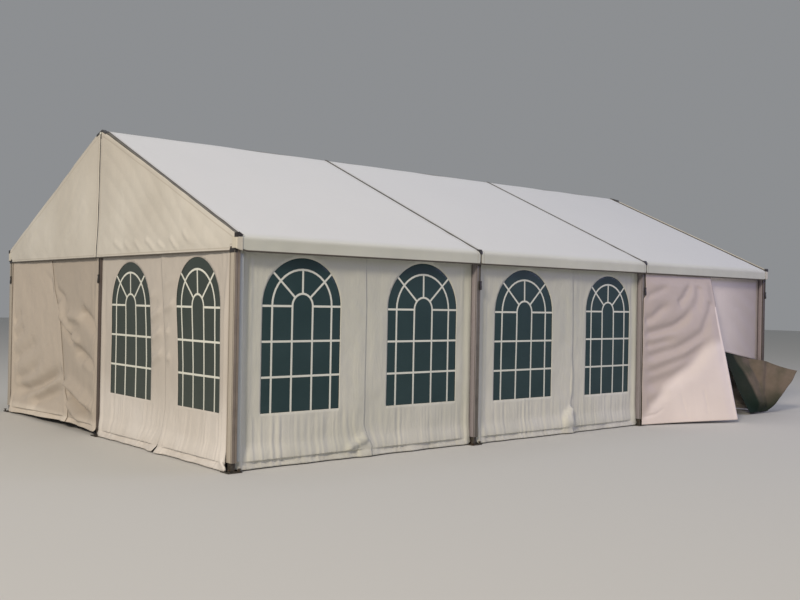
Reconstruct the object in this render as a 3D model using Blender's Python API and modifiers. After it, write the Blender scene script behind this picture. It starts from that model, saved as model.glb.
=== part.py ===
"""Frame marquee tent: three bays of aluminium portal frames under coated white cloth.

Metres, +Z up. The origin is on the ground under the middle of the near front corner leg.
+X runs along the tent, +Y across it, and the doorway is in the last bay of the front side.
"""

import math

import bmesh
import bpy

# Driving sizes of the frame
SPAN = 5.90  # between the middles of the front and back legs
BAY = 3.20  # between the middles of two frames
BAYS = 3
EAVE_HEIGHT = 2.235  # top of the rafter over the outer face of the leg
RIDGE_HEIGHT = 3.57  # top of the rafters where they meet
VALANCE_DROP = 0.165  # the roof cloth hangs this far below the eave height

# Aluminium profiles
LEG_WIDTH = 0.060  # along the tent, the same for rafters and gable posts
LEG_DEPTH = 0.100  # across the tent
LEG_TOP_DROP = 0.115  # from the eave height down to the seat of the rafter on the leg
RAFTER_DEPTH = 0.110
RIB_WIDTH = 0.030  # the strip of rafter that shows between two roof sheets
RIB_HEIGHT = 0.008
POST_WIDTH = 0.060  # gable post, across the tent
RIDGE_PURLIN_WIDTH = 0.060
RIDGE_PURLIN_HEIGHT = 0.080
EAVE_PURLIN_HEIGHT = 0.070
EAVE_PURLIN_INSET = 0.005  # from the inner face of the leg
BEAM_HEIGHT = 0.060  # gable beam, over the gable walls
BEAM_DROP = 0.010  # from the underside of the rafter at the leg

# Steel feet
BASE_SIZE = 0.150
BASE_THICKNESS = 0.010
SPIGOT_WIDTH = 0.040
SPIGOT_DEPTH = 0.070
SPIGOT_HEIGHT = 0.090  # underside of the aluminium profile

# Cloth
CLOTH = 0.003
VALANCE_OUT = 0.035  # outer face of the valance from the outer face of the leg
EAVE_ROUND = 0.050  # outer radius of the cloth over the eave
GABLE_TOP_DROP = 0.020  # top edge of the gable cloth, square to the roof, from the rib
GABLE_SEAM = 0.016  # open strip between the two gable cloths, on the post
WALL_SETBACK = 0.012  # cloth of the long walls, from the inner face of the leg
GABLE_WALL_SETBACK = 0.018  # cloth of the gable walls, from the outer face of the post
SKIRT_HEIGHT = 0.090  # crease of the skirt at the foot of each wall
SKIRT_OUT = 0.045  # how far the skirt turns out

# Arched windows
WINDOW_WIDTH = 0.970
WINDOW_SILL = 0.520
WINDOW_DROP = 0.030  # head of the window under the lower edge of the valance
GABLE_WINDOW_WIDTH = 0.930
GABLE_WINDOW_OUTER = 0.710  # window middle next to the corner, from the middle of the leg
GABLE_WINDOW_INNER = 2.150
ARCH_STEPS = 16
PANE = 0.002
PANE_MARGIN = 0.040  # the sheet of clear plastic reaches this far past its windows

# Doorway bay: a loose flap on the leg side, and a raised curtain on the corner side
FLAP_TOP_WIDTH = 1.650  # from the middle of the leg to the free edge, at the top
FLAP_FOOT_WIDTH = 1.450
FLAP_OUT = 0.550  # the free foot corner stands this far out
FLAP_LIFT = 0.030  # hem over the ground at the free corner
FLAP_LAP = 0.030  # top edge of the flap up the face of the eave purlin
FLAP_FREE_HEIGHT = 1.720  # over this height the flap starts beside the leg, not on it
FLAP_FOLD = 0.030
FLAP_FOLDS = 5.0
CURTAIN_WIDTH = 1.620  # from the middle of the corner leg
CURTAIN_LOW = 0.800  # raised hem at the corner leg
CURTAIN_RISE = 0.260  # how much higher the hem is at the free edge
TAIL_START = 0.980  # left end of the brown cloth's top edge, from the corner leg
TAIL_TURN = 0.300  # from here on it leaves the hem and passes in front of the leg
TAIL_REACH = 0.400  # past the middle of the corner leg
TAIL_OUT = 0.390  # its loose corner from the wall, outwards
TAIL_CORNER_HEIGHT = 0.660
TAIL_FOOT_LEFT = 0.300  # foot of the brown cloth, to the left of the corner leg
TAIL_FOOT_RIGHT = 0.120
TAIL_FOOT_OUT = 0.130
TAIL_FOOT_HEIGHT = 0.030
TAIL_FOLD = 0.035

GAP = 0.0003  # running clearance between pieces that touch

# Worked out from the sizes above
LENGTH = BAY * BAYS
FRONT_FACE = -LEG_DEPTH / 2
MIDDLE = SPAN / 2
SLOPE = (RIDGE_HEIGHT - EAVE_HEIGHT) / (MIDDLE - FRONT_FACE)
COS_PITCH = 1 / math.sqrt(1 + SLOPE**2)
LEG_TOP = EAVE_HEIGHT - LEG_TOP_DROP
VALANCE_BOTTOM = EAVE_HEIGHT - VALANCE_DROP
VALANCE_FACE = FRONT_FACE - VALANCE_OUT
CLOTH_BOTTOM = BASE_THICKNESS + GAP
WINDOW_SPRING = VALANCE_BOTTOM - WINDOW_DROP - WINDOW_WIDTH / 2

ALUMINIUM = ("anodised_aluminium", (0.40, 0.38, 0.35), 0.45, 1.0)
ROOF_CLOTH = ("roof_cloth", (0.78, 0.79, 0.80), 0.50, 0.0)
WALL_CLOTH = ("wall_cloth", (0.66, 0.65, 0.60), 0.55, 0.0)
GABLE_CLOTH = ("gable_cloth", (0.70, 0.64, 0.56), 0.55, 0.0)
CLEAR_PLASTIC = ("window_plastic", (0.05, 0.09, 0.09), 0.15, 0.0)
BROWN_CLOTH = ("brown_cloth", (0.13, 0.11, 0.09), 0.85, 0.0)


def clear_scene():
    """Remove whatever the open file holds."""
    for thing in list(bpy.data.objects):
        bpy.data.objects.remove(thing, do_unlink=True)


def collection(name):
    """A collection of that name, linked to the scene."""
    group = bpy.data.collections.new(name)
    bpy.context.scene.collection.children.link(group)
    return group


def material(finish):
    """The material for a finish: name, colour, roughness and metallic value."""
    name, colour, roughness, metallic = finish
    found = bpy.data.materials.get(name)
    if found:
        return found
    made = bpy.data.materials.new(name)
    made.use_nodes = True
    shader = made.node_tree.nodes["Principled BSDF"]
    shader.inputs["Base Color"].default_value = (*colour, 1.0)
    shader.inputs["Roughness"].default_value = roughness
    shader.inputs["Metallic"].default_value = metallic
    made.diffuse_color = (*colour, 1.0)
    return made


def roof(y, below=0.0):
    """Height of the roof at y, or of the line that lies below it, measured square to the slope."""
    run = min(y, SPAN - y) - FRONT_FACE
    return EAVE_HEIGHT + run * SLOPE - below / COS_PITCH


def arc(centre, radius, start, end, steps):
    """Points of an arc, with the angles in radians."""
    angles = [start + (end - start) * i / steps for i in range(steps + 1)]
    return [(centre[0] + radius * math.cos(a), centre[1] + radius * math.sin(a)) for a in angles]


def arch(middle, width, sill, spring):
    """Outline of a window: straight sides and a half-round head."""
    half = width / 2
    head = arc((middle, spring), half, 0.0, math.pi, ARCH_STEPS)
    return [(middle - half, sill), (middle + half, sill), *head]


def across_and_back(points):
    """Repeat an outline's front half, mirrored, on the back half of the tent."""
    return points + [(SPAN - y, z) for y, z in reversed(points)]


def without_repeats(points):
    """Drop a point that lies on the one before it."""
    kept = []
    for point in points:
        if not kept or math.dist(point, kept[-1]) > 1e-6:
            kept.append(point)
    return kept


TURNS = {"x": (math.pi / 2, 0, math.pi / 2), "y": (math.pi / 2, 0, 0)}


def extruded(name, outlines, along, start, end, finish=None):
    """A solid with flat outlines, (y, z) along x or (x, z) along y, from start to end."""
    flat = bpy.data.curves.new(name, "CURVE")
    flat.dimensions = "2D"
    flat.fill_mode = "BOTH"
    flat.extrude = abs(end - start) / 2
    for outline in outlines:
        points = without_repeats(outline)
        spline = flat.splines.new("POLY")
        spline.points.add(len(points) - 1)
        for place, point in zip(spline.points, points):
            place.co = (*point, 0.0, 1.0)
        spline.use_cyclic_u = True
    curve = bpy.data.objects.new(name + "_outline", flat)
    bpy.context.scene.collection.objects.link(curve)
    curve.rotation_euler = TURNS[along]
    curve.location["xyz".index(along)] = (start + end) / 2
    bpy.context.view_layer.update()
    evaluated = curve.evaluated_get(bpy.context.evaluated_depsgraph_get())
    mesh = bpy.data.meshes.new_from_object(evaluated)
    solid = bpy.data.objects.new(name, mesh)
    solid.matrix_world = curve.matrix_world
    bpy.data.objects.remove(curve, do_unlink=True)
    weld(mesh)
    return finished(solid, finish)


def weld(mesh):
    """Join a mesh's loose seams and point its faces outwards."""
    shape = bmesh.new()
    shape.from_mesh(mesh)
    bmesh.ops.remove_doubles(shape, verts=shape.verts, dist=1e-5)
    bmesh.ops.recalc_face_normals(shape, faces=shape.faces)
    shape.to_mesh(mesh)
    shape.free()


def finished(solid, finish):
    """Put a solid in its collection, with its material, or among the cutters without one."""
    if finish:
        solid.data.materials.clear()
        solid.data.materials.append(material(finish))
        TENT.objects.link(solid)
    else:
        CUTTERS.objects.link(solid)
        solid.hide_render = True
        solid.display_type = "WIRE"
    return solid


def boolean(solid, tool, operation):
    """Cut or join a solid with another, by a modifier that stays on it."""
    cut = solid.modifiers.new(tool.name, "BOOLEAN")
    cut.operation = operation
    cut.solver = "EXACT"
    cut.object = tool


def stepped_post(name, x, y, steps, finish):
    """An upright of stacked rectangles: (width, depth, height of its top), from the ground up."""
    shape = bmesh.new()
    bmesh.ops.create_cube(shape, size=1.0)
    width, depth, top = steps[0]
    for vert in shape.verts:
        vert.co = (vert.co.x * width, vert.co.y * depth, (vert.co.z + 0.5) * top)
    for new_width, new_depth, new_top in steps[1:]:
        for rise, sides in ((0.0, (new_width / width, new_depth / depth)), (new_top - top, (1, 1))):
            shape.faces.ensure_lookup_table()
            upper = max(shape.faces, key=lambda face: face.calc_center_median().z + face.normal.z)
            grown = bmesh.ops.extrude_face_region(shape, geom=[upper])
            verts = [item for item in grown["geom"] if isinstance(item, bmesh.types.BMVert)]
            bmesh.ops.delete(shape, geom=[upper], context="FACES_ONLY")
            bmesh.ops.scale(shape, vec=(*sides, 1.0), verts=verts)
            bmesh.ops.translate(shape, vec=(0.0, 0.0, rise), verts=verts)
            shape.normal_update()
        width, depth, top = new_width, new_depth, new_top
    mesh = bpy.data.meshes.new(name)
    bmesh.ops.recalc_face_normals(shape, faces=shape.faces)
    shape.to_mesh(mesh)
    shape.free()
    post = bpy.data.objects.new(name, mesh)
    post.location = (x, y, 0.0)
    return finished(post, finish)


def draped(name, place, across, down, finish):
    """A loose sheet: place(u, v) gives the point for u across and v down, both from 0 to 1."""
    shape = bmesh.new()
    bmesh.ops.create_grid(shape, x_segments=across, y_segments=down, size=0.5)
    for vert in shape.verts:
        vert.co = place(vert.co.x + 0.5, 0.5 - vert.co.y)
    mesh = bpy.data.meshes.new(name)
    shape.to_mesh(mesh)
    shape.free()
    sheet = bpy.data.objects.new(name, mesh)
    thick = sheet.modifiers.new("cloth", "SOLIDIFY")
    thick.thickness = CLOTH
    thick.offset = 1.0
    return finished(sheet, finish)


def frame_x(index):
    """Middle of a frame, counted from the near gable."""
    return index * BAY


def base_and_profile(top, depth):
    """Steps of an upright: base plate, spigot and aluminium profile."""
    return [
        (BASE_SIZE, BASE_SIZE, BASE_THICKNESS),
        (SPIGOT_WIDTH, min(SPIGOT_DEPTH, depth), SPIGOT_HEIGHT),
        (LEG_WIDTH, depth, top),
    ]


def legs():
    """Eight legs, each with its spigot and base plate."""
    for index in range(BAYS + 1):
        for side, y in (("front", 0.0), ("back", SPAN)):
            steps = base_and_profile(LEG_TOP, LEG_DEPTH)
            stepped_post(f"leg_{side}_{index + 1}", frame_x(index), y, steps, ALUMINIUM)


def slope_band(start, high, low):
    """Outline of a band that follows the roof: from y = start, between two depths below it."""
    upper = [(start, roof(start, high)), (MIDDLE, roof(MIDDLE, high))]
    lower = [(start, roof(start, low)), (MIDDLE, roof(MIDDLE, low))]
    return without_repeats(across_and_back(upper) + across_and_back(lower)[::-1])


def rafters():
    """Four pairs of rafters, each joined at the ridge and seated on its two legs."""
    seat = LEG_TOP + GAP
    inner = LEG_DEPTH / 2
    outer = [
        (FRONT_FACE, seat),
        (FRONT_FACE, roof(FRONT_FACE, RIB_HEIGHT)),
        (MIDDLE, roof(MIDDLE, RIB_HEIGHT)),
    ]
    under = [
        (inner, seat),
        (inner, roof(inner, RAFTER_DEPTH)),
        (MIDDLE, roof(MIDDLE, RAFTER_DEPTH)),
    ]
    outline = across_and_back(outer) + across_and_back(under)[::-1]
    for index in range(BAYS + 1):
        x = frame_x(index)
        half = LEG_WIDTH / 2
        pair = extruded(f"rafters_{index + 1}", [outline], "x", x - half, x + half, ALUMINIUM)
        band = slope_band(FRONT_FACE, 0.0, 2 * RIB_HEIGHT)
        rib = extruded(f"rib_{index + 1}", [band], "x", x - RIB_WIDTH / 2, x + RIB_WIDTH / 2)
        boolean(pair, rib, "UNION")


def purlins():
    """Ridge and eave purlins between the frames."""
    half = RIDGE_PURLIN_WIDTH / 2
    crest = roof(MIDDLE, RIB_HEIGHT)
    ridge = [
        (MIDDLE - half, crest - RIDGE_PURLIN_HEIGHT),
        (MIDDLE - half, roof(MIDDLE - half, RIB_HEIGHT)),
        (MIDDLE, crest),
        (MIDDLE + half, roof(MIDDLE + half, RIB_HEIGHT)),
        (MIDDLE + half, crest - RIDGE_PURLIN_HEIGHT),
    ]
    inner = LEG_DEPTH / 2 - EAVE_PURLIN_INSET
    eave = [
        (FRONT_FACE, eave_purlin_bottom()),
        (FRONT_FACE, roof(FRONT_FACE, RIB_HEIGHT)),
        (inner, roof(inner, RIB_HEIGHT)),
        (inner, eave_purlin_bottom()),
    ]
    back = [(SPAN - y, z) for y, z in eave]
    for index in range(BAYS):
        start = frame_x(index) + LEG_WIDTH / 2 + GAP
        end = frame_x(index + 1) - LEG_WIDTH / 2 - GAP
        extruded(f"ridge_purlin_{index + 1}", [ridge], "x", start, end, ALUMINIUM)
        extruded(f"eave_purlin_front_{index + 1}", [eave], "x", start, end, ALUMINIUM)
        extruded(f"eave_purlin_back_{index + 1}", [back], "x", start, end, ALUMINIUM)


def eave_purlin_bottom():
    """Underside of the eave purlins, where the long walls hang."""
    return roof(FRONT_FACE, RIB_HEIGHT) - EAVE_PURLIN_HEIGHT


def beam_top():
    """Top of the gable beams, just under the rafters at the legs."""
    return roof(LEG_DEPTH / 2, RAFTER_DEPTH) - BEAM_DROP


def gable_frames():
    """A post and two beams in each gable."""
    top = roof(MIDDLE - POST_WIDTH / 2, RAFTER_DEPTH) - GAP
    beam = (LEG_DEPTH / 2 + GAP, MIDDLE - POST_WIDTH / 2 - GAP)
    for end_name, x in (("near", 0.0), ("far", LENGTH)):
        steps = base_and_profile(top, POST_WIDTH)
        stepped_post(f"gable_post_{end_name}", x, MIDDLE, steps, ALUMINIUM)
        for side, (start, end) in (("front", beam), ("back", (SPAN - beam[1], SPAN - beam[0]))):
            low = beam_top() - BEAM_HEIGHT
            outline = [(start, low), (end, low), (end, beam_top()), (start, beam_top())]
            span = (x - LEG_WIDTH / 2, x + LEG_WIDTH / 2)
            extruded(f"gable_beam_{end_name}_{side}", [outline], "x", *span, ALUMINIUM)


def eave_round_centre():
    """Centre of the roof cloth's curve over the front eave."""
    y = VALANCE_FACE + EAVE_ROUND
    return y, roof(y, RIB_HEIGHT - GAP - CLOTH) - EAVE_ROUND / COS_PITCH


def roof_side(depth):
    """Front half of the roof cloth, from the valance to the ridge, at a depth below its face."""
    centre = eave_round_centre()
    tangent = math.pi / 2 + math.atan(SLOPE)
    curve = arc(centre, EAVE_ROUND - depth, math.pi, tangent, 6)
    ridge = (MIDDLE, roof(MIDDLE, RIB_HEIGHT - GAP - CLOTH + depth))
    return [(VALANCE_FACE + depth, VALANCE_BOTTOM), *curve, ridge]


def roof_sheets():
    """Three roof cloths, one for each bay, over the ridge and down to both valances."""
    outline = across_and_back(roof_side(0.0)) + across_and_back(roof_side(CLOTH))[::-1]
    gable_face = LEG_WIDTH / 2 + GAP + CLOTH
    for index in range(BAYS):
        first, last = index == 0, index == BAYS - 1
        start = frame_x(index) - gable_face if first else frame_x(index) + GAP
        end = frame_x(index + 1) + gable_face if last else frame_x(index + 1) - GAP
        sheet = extruded(f"roof_sheet_{index + 1}", [outline], "x", start, end, ROOF_CLOTH)
        band = slope_band(FRONT_FACE - GAP, -EAVE_ROUND, 2 * RIB_HEIGHT)
        for frame, outside in ((index, -1 if first else 0), (index + 1, 1 if last else 0)):
            half = RIB_WIDTH / 2 + GAP
            left = frame_x(frame) - half - (LEG_WIDTH if outside < 0 else 0.0)
            right = frame_x(frame) + half + (LEG_WIDTH if outside > 0 else 0.0)
            slot = extruded(f"rib_slot_{index + 1}_{frame + 1}", [band], "x", left, right)
            boolean(sheet, slot, "DIFFERENCE")


def gable_sheets():
    """Two cloths in each gable, from the valance's height up to the rafters, on the post."""
    edge = VALANCE_FACE + CLOTH + GAP
    round_y, round_z = eave_round_centre()
    seam = MIDDLE - GABLE_SEAM / 2
    front = [
        (edge, VALANCE_BOTTOM),
        (edge, round_z - EAVE_ROUND / 2),
        (round_y, roof(round_y, GABLE_TOP_DROP)),
        (seam, roof(seam, GABLE_TOP_DROP)),
        (seam, VALANCE_BOTTOM),
    ]
    back = [(SPAN - y, z) for y, z in front]
    near = -LEG_WIDTH / 2 - GAP
    far = LENGTH + LEG_WIDTH / 2 + GAP
    for end_name, start, end in (("near", near - CLOTH, near), ("far", far, far + CLOTH)):
        for side, outline in (("front", front), ("back", back)):
            extruded(f"gable_sheet_{end_name}_{side}", [outline], "x", start, end, GABLE_CLOTH)


def wall_profile(face, out, top):
    """Section of a wall cloth with its skirt turned out; face is its outer face, out is -1 or 1."""
    foot = face + out * SKIRT_OUT
    inner = -out * CLOTH
    return [
        (face, top),
        (face, SKIRT_HEIGHT),
        (foot, CLOTH_BOTTOM),
        (foot + inner, CLOTH_BOTTOM),
        (face + inner, SKIRT_HEIGHT),
        (face + inner, top),
    ]


def long_wall(name, index, side, windows):
    """One bay's wall on a long side, with two arched windows and their clear sheet, or plain."""
    out = -1 if side == "front" else 1
    inner_face = LEG_DEPTH / 2 if side == "front" else SPAN - LEG_DEPTH / 2
    face = inner_face + out * (WALL_SETBACK + CLOTH)
    start = frame_x(index) + LEG_WIDTH / 2 + GAP
    end = frame_x(index + 1) - LEG_WIDTH / 2 - GAP
    profile = wall_profile(face, out, eave_purlin_bottom() - GAP)
    wall = extruded(name, [profile], "x", start, end, WALL_CLOTH)
    if not windows:
        return
    middles = [frame_x(index) + BAY * share for share in (0.25, 0.75)]
    holes = [arch(m, WINDOW_WIDTH, WINDOW_SILL, WINDOW_SPRING) for m in middles]
    cutter = extruded(f"{name}_holes", holes, "y", face - 0.05, face + 0.05)
    boolean(wall, cutter, "DIFFERENCE")
    reach = WINDOW_WIDTH / 2 + PANE_MARGIN
    head = WINDOW_SPRING + reach
    low = WINDOW_SILL - PANE_MARGIN
    left, right = middles[0] - reach, middles[1] + reach
    pane = [(left, low), (right, low), (right, head), (left, head)]
    near = face - out * (CLOTH + GAP)
    extruded(f"panes_{name}", [pane], "y", *sorted((near, near - out * PANE)), CLEAR_PLASTIC)


def gable_wall(name, end_name, side, windows):
    """Half of a gable wall, between a corner leg and the gable post."""
    out = -1 if end_name == "near" else 1
    outer_face = -LEG_WIDTH / 2 if end_name == "near" else LENGTH + LEG_WIDTH / 2
    face = outer_face - out * GABLE_WALL_SETBACK
    start = LEG_DEPTH / 2 + GAP
    end = MIDDLE - POST_WIDTH / 2 - GAP
    middles = [GABLE_WINDOW_OUTER, GABLE_WINDOW_INNER]
    if side == "back":
        start, end = SPAN - end, SPAN - start
        middles = [SPAN - middle for middle in reversed(middles)]
    profile = wall_profile(face, out, beam_top() - BEAM_HEIGHT - GAP)
    wall = extruded(name, [profile], "y", start, end, GABLE_CLOTH)
    if not windows:
        return
    holes = [arch(m, GABLE_WINDOW_WIDTH, WINDOW_SILL, WINDOW_SPRING) for m in middles]
    cutter = extruded(f"{name}_holes", holes, "x", face - 0.05, face + 0.05)
    boolean(wall, cutter, "DIFFERENCE")
    reach = GABLE_WINDOW_WIDTH / 2 + PANE_MARGIN
    head = WINDOW_SPRING + reach
    low = WINDOW_SILL - PANE_MARGIN
    left, right = middles[0] - reach, middles[1] + reach
    pane = [(left, low), (right, low), (right, head), (left, head)]
    near = face - out * (CLOTH + GAP)
    extruded(f"panes_{name}", [pane], "x", *sorted((near, near - out * PANE)), CLEAR_PLASTIC)


def walls():
    """Closed walls: windowed bays on both long sides, and the gable walls."""
    long_wall("wall_front_1", 0, "front", True)
    long_wall("wall_front_2", 1, "front", True)
    long_wall("wall_back_1", 0, "back", True)
    long_wall("wall_back_2", 1, "back", True)
    long_wall("wall_back_3", 2, "back", False)
    gable_wall("wall_near_front", "near", "front", True)
    gable_wall("wall_near_back", "near", "back", False)
    gable_wall("wall_far_front", "far", "front", False)
    gable_wall("wall_far_back", "far", "back", True)


def blend(value, low, high):
    """Smooth step from 0 at low to 1 at high."""
    share = min(max((value - low) / (high - low), 0.0), 1.0)
    return share * share * (3 - 2 * share)


def flap_point(u, v):
    """The loose flap: hung from the eave purlin, its free edge swung out at the foot."""
    leg = frame_x(BAYS - 1)
    top = eave_purlin_bottom() + FLAP_LAP
    foot = CLOTH_BOTTOM + FLAP_LIFT * u
    z = top + (foot - top) * v
    beside = blend(z, FLAP_FREE_HEIGHT, FLAP_FREE_HEIGHT + 2 * FLAP_FOLD)
    left = leg - LEG_WIDTH / 2 + (LEG_WIDTH + GAP) * beside
    right = leg + FLAP_TOP_WIDTH + (FLAP_FOOT_WIDTH - FLAP_TOP_WIDTH) * v
    x = left + (right - left) * u
    hang = max(VALANCE_BOTTOM - z, 0.0) / VALANCE_BOTTOM
    swag = 0.5 - 0.5 * math.cos(2 * math.pi * FLAP_FOLDS * (v + 0.35 * u * u))
    depth = FLAP_FOLD * swag * 4 * u * (1 - u) * blend(hang, 0.0, 0.2)
    y = FRONT_FACE - GAP - FLAP_OUT * hang * u**1.3 - depth
    return x, y, z


def curtain_hem(x):
    """Height of the raised curtain's hem at x."""
    return CURTAIN_LOW + CURTAIN_RISE * (LENGTH - x) / CURTAIN_WIDTH


def curtain_back():
    """Inner face of the raised curtain."""
    return LEG_DEPTH / 2 - WALL_SETBACK


def tail_point(u, v):
    """The brown cloth: from the curtain's hem out past the corner leg, narrower at its foot."""
    x = LENGTH - TAIL_START + (TAIL_START + TAIL_REACH) * u
    turn = LENGTH - TAIL_TURN
    swing = blend(x, turn, LENGTH - LEG_WIDTH)
    beyond = max(x - LENGTH, 0.0) / TAIL_REACH
    in_front = FRONT_FACE - LEG_WIDTH
    y = curtain_back() + (in_front - curtain_back()) * swing
    y += (FRONT_FACE - TAIL_OUT - in_front) * beyond
    hem = curtain_hem(x) - GAP - CLOTH / 2
    z = hem + (TAIL_CORNER_HEIGHT - hem) * beyond
    foot_x = LENGTH - TAIL_FOOT_LEFT + (TAIL_FOOT_LEFT + TAIL_FOOT_RIGHT) * u
    foot_y = FRONT_FACE - TAIL_FOOT_OUT
    fold = TAIL_FOLD * math.sin(3 * math.pi * u) * 4 * v * (1 - v)
    along = v**1.2
    return (
        x + (foot_x - x) * along,
        y + (foot_y - y) * along - abs(fold),
        z + (TAIL_FOOT_HEIGHT - z) * v,
    )


def doorway_bay():
    """The front of the last bay: loose flap, raised curtain and the brown cloth under it."""
    draped("door_flap", flap_point, 14, 20, WALL_CLOTH)
    left = LENGTH - CURTAIN_WIDTH
    right = LENGTH - LEG_WIDTH / 2 - GAP
    top = eave_purlin_bottom() - GAP
    outline = [(left, curtain_hem(left)), (right, curtain_hem(right)), (right, top), (left, top)]
    back = curtain_back()
    extruded("raised_curtain", [outline], "y", back - CLOTH, back, WALL_CLOTH)
    draped("brown_tail", tail_point, 16, 8, BROWN_CLOTH)


clear_scene()
TENT = collection("marquee_tent")
CUTTERS = collection("cutters")
legs()
rafters()
purlins()
gable_frames()
roof_sheets()
gable_sheets()
walls()
doorway_bay()
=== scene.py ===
"""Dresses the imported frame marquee: coated cloth, arched windows, profiles, fittings and light.

Every length is in metres in the frame of the solids: the origin is on the ground under the
near front corner leg, +X runs along the tent, +Y across it and +Z up.
"""

from __future__ import annotations

import logging
import math
from dataclasses import dataclass, field, replace
from enum import Enum
from typing import Callable, Iterable, Sequence

import bmesh
import bpy
from mathutils import Matrix, Vector, noise

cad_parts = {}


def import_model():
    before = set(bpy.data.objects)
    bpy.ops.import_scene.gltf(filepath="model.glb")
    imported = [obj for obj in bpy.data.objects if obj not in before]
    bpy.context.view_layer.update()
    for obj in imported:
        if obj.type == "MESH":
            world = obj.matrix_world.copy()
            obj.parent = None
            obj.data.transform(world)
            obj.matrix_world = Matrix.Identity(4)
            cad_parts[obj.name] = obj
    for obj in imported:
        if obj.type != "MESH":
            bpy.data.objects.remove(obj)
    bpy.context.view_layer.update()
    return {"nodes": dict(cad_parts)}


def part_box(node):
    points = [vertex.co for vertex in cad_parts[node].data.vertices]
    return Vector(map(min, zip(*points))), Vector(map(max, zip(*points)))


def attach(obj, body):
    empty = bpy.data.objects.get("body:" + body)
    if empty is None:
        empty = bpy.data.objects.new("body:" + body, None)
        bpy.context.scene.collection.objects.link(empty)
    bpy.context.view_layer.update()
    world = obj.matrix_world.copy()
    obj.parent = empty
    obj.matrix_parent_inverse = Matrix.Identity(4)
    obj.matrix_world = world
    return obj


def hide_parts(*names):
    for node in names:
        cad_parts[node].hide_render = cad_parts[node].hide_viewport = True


LOG = logging.getLogger("marquee")
BODY = "root"

Point2 = tuple[float, float]
Point3 = tuple[float, float, float]
Drape = Callable[[float, float], Vector]
Rim = Callable[[float, float], Point2]
Spot = Callable[[float, float, float], Vector]
Socket = bpy.types.NodeSocket
Material = bpy.types.Material
Piece = bpy.types.Object
Shape = bmesh.types.BMesh


class Hold(Enum):
    """How a sheet of cloth is held."""

    HUNG = "hung"
    STRETCHED = "stretched"


class Side(Enum):
    """The two long sides of the tent."""

    FRONT = "front"
    BACK = "back"


class End(Enum):
    """The two gable ends of the tent."""

    NEAR = "near"
    FAR = "far"


def linear(code: str) -> tuple[float, float, float, float]:
    """Turn an sRGB hex colour into linear red, green, blue and an alpha of 1.

    Args:
        code: six hex digits after a hash.

    Returns:
        The linear colour as Blender's sockets take it.
    """
    parts = [int(code[i : i + 2], 16) / 255 for i in (1, 3, 5)]
    red, green, blue = (c / 12.92 if c <= 0.04045 else ((c + 0.055) / 1.055) ** 2.4 for c in parts)
    return red, green, blue, 1.0


def smooth(value: float, low: float, high: float) -> float:
    """Smooth step: 0 up to a low value, 1 from a high one.

    Args:
        value: where it is read.
        low: where it starts to leave 0.
        high: where it reaches 1.

    Returns:
        A share from 0 to 1.
    """
    share = min(max((value - low) / (high - low), 0.0), 1.0)
    return share * share * (3 - 2 * share)


def bell(value: float, middle: float, width: float) -> float:
    """A rounded bump of height 1.

    Args:
        value: where it is read.
        middle: where it is highest.
        width: how far from there it has fallen to about a third.

    Returns:
        A share from 0 to 1.
    """
    return math.exp(-(((value - middle) / width) ** 2))


def ripple(x: float, y: float, seed: float) -> float:
    """Even noise between about -1 and 1.

    Args:
        x: first coordinate, in noise cells.
        y: second coordinate, in noise cells.
        seed: picks another field.

    Returns:
        The noise there.
    """
    return noise.noise(Vector((x, y, seed * 7.31)))


def read_off(table: Sequence[Point2], place: float) -> float:
    """Read a value off a table, in straight lines between its rows.

    Args:
        table: positions and values.
        place: the position.

    Returns:
        The value there.
    """
    for (low, a), (high, b) in zip(table, table[1:]):
        if place < high:
            return a + (b - a) * max((place - low) / (high - low), 0.0)
    return table[-1][1]


def lines(marks: Sequence[float], step: float) -> list[float]:
    """Grid lines that pass through every mark, at most a step apart.

    Args:
        marks: rising positions that must be hit.
        step: largest spacing.

    Returns:
        All the positions, in order.
    """
    found = [marks[0]]
    for low, high in zip(marks, marks[1:]):
        count = max(1, math.ceil((high - low) / step))
        found += [low + (high - low) * (i + 1) / count for i in range(count)]
    return found


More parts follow.
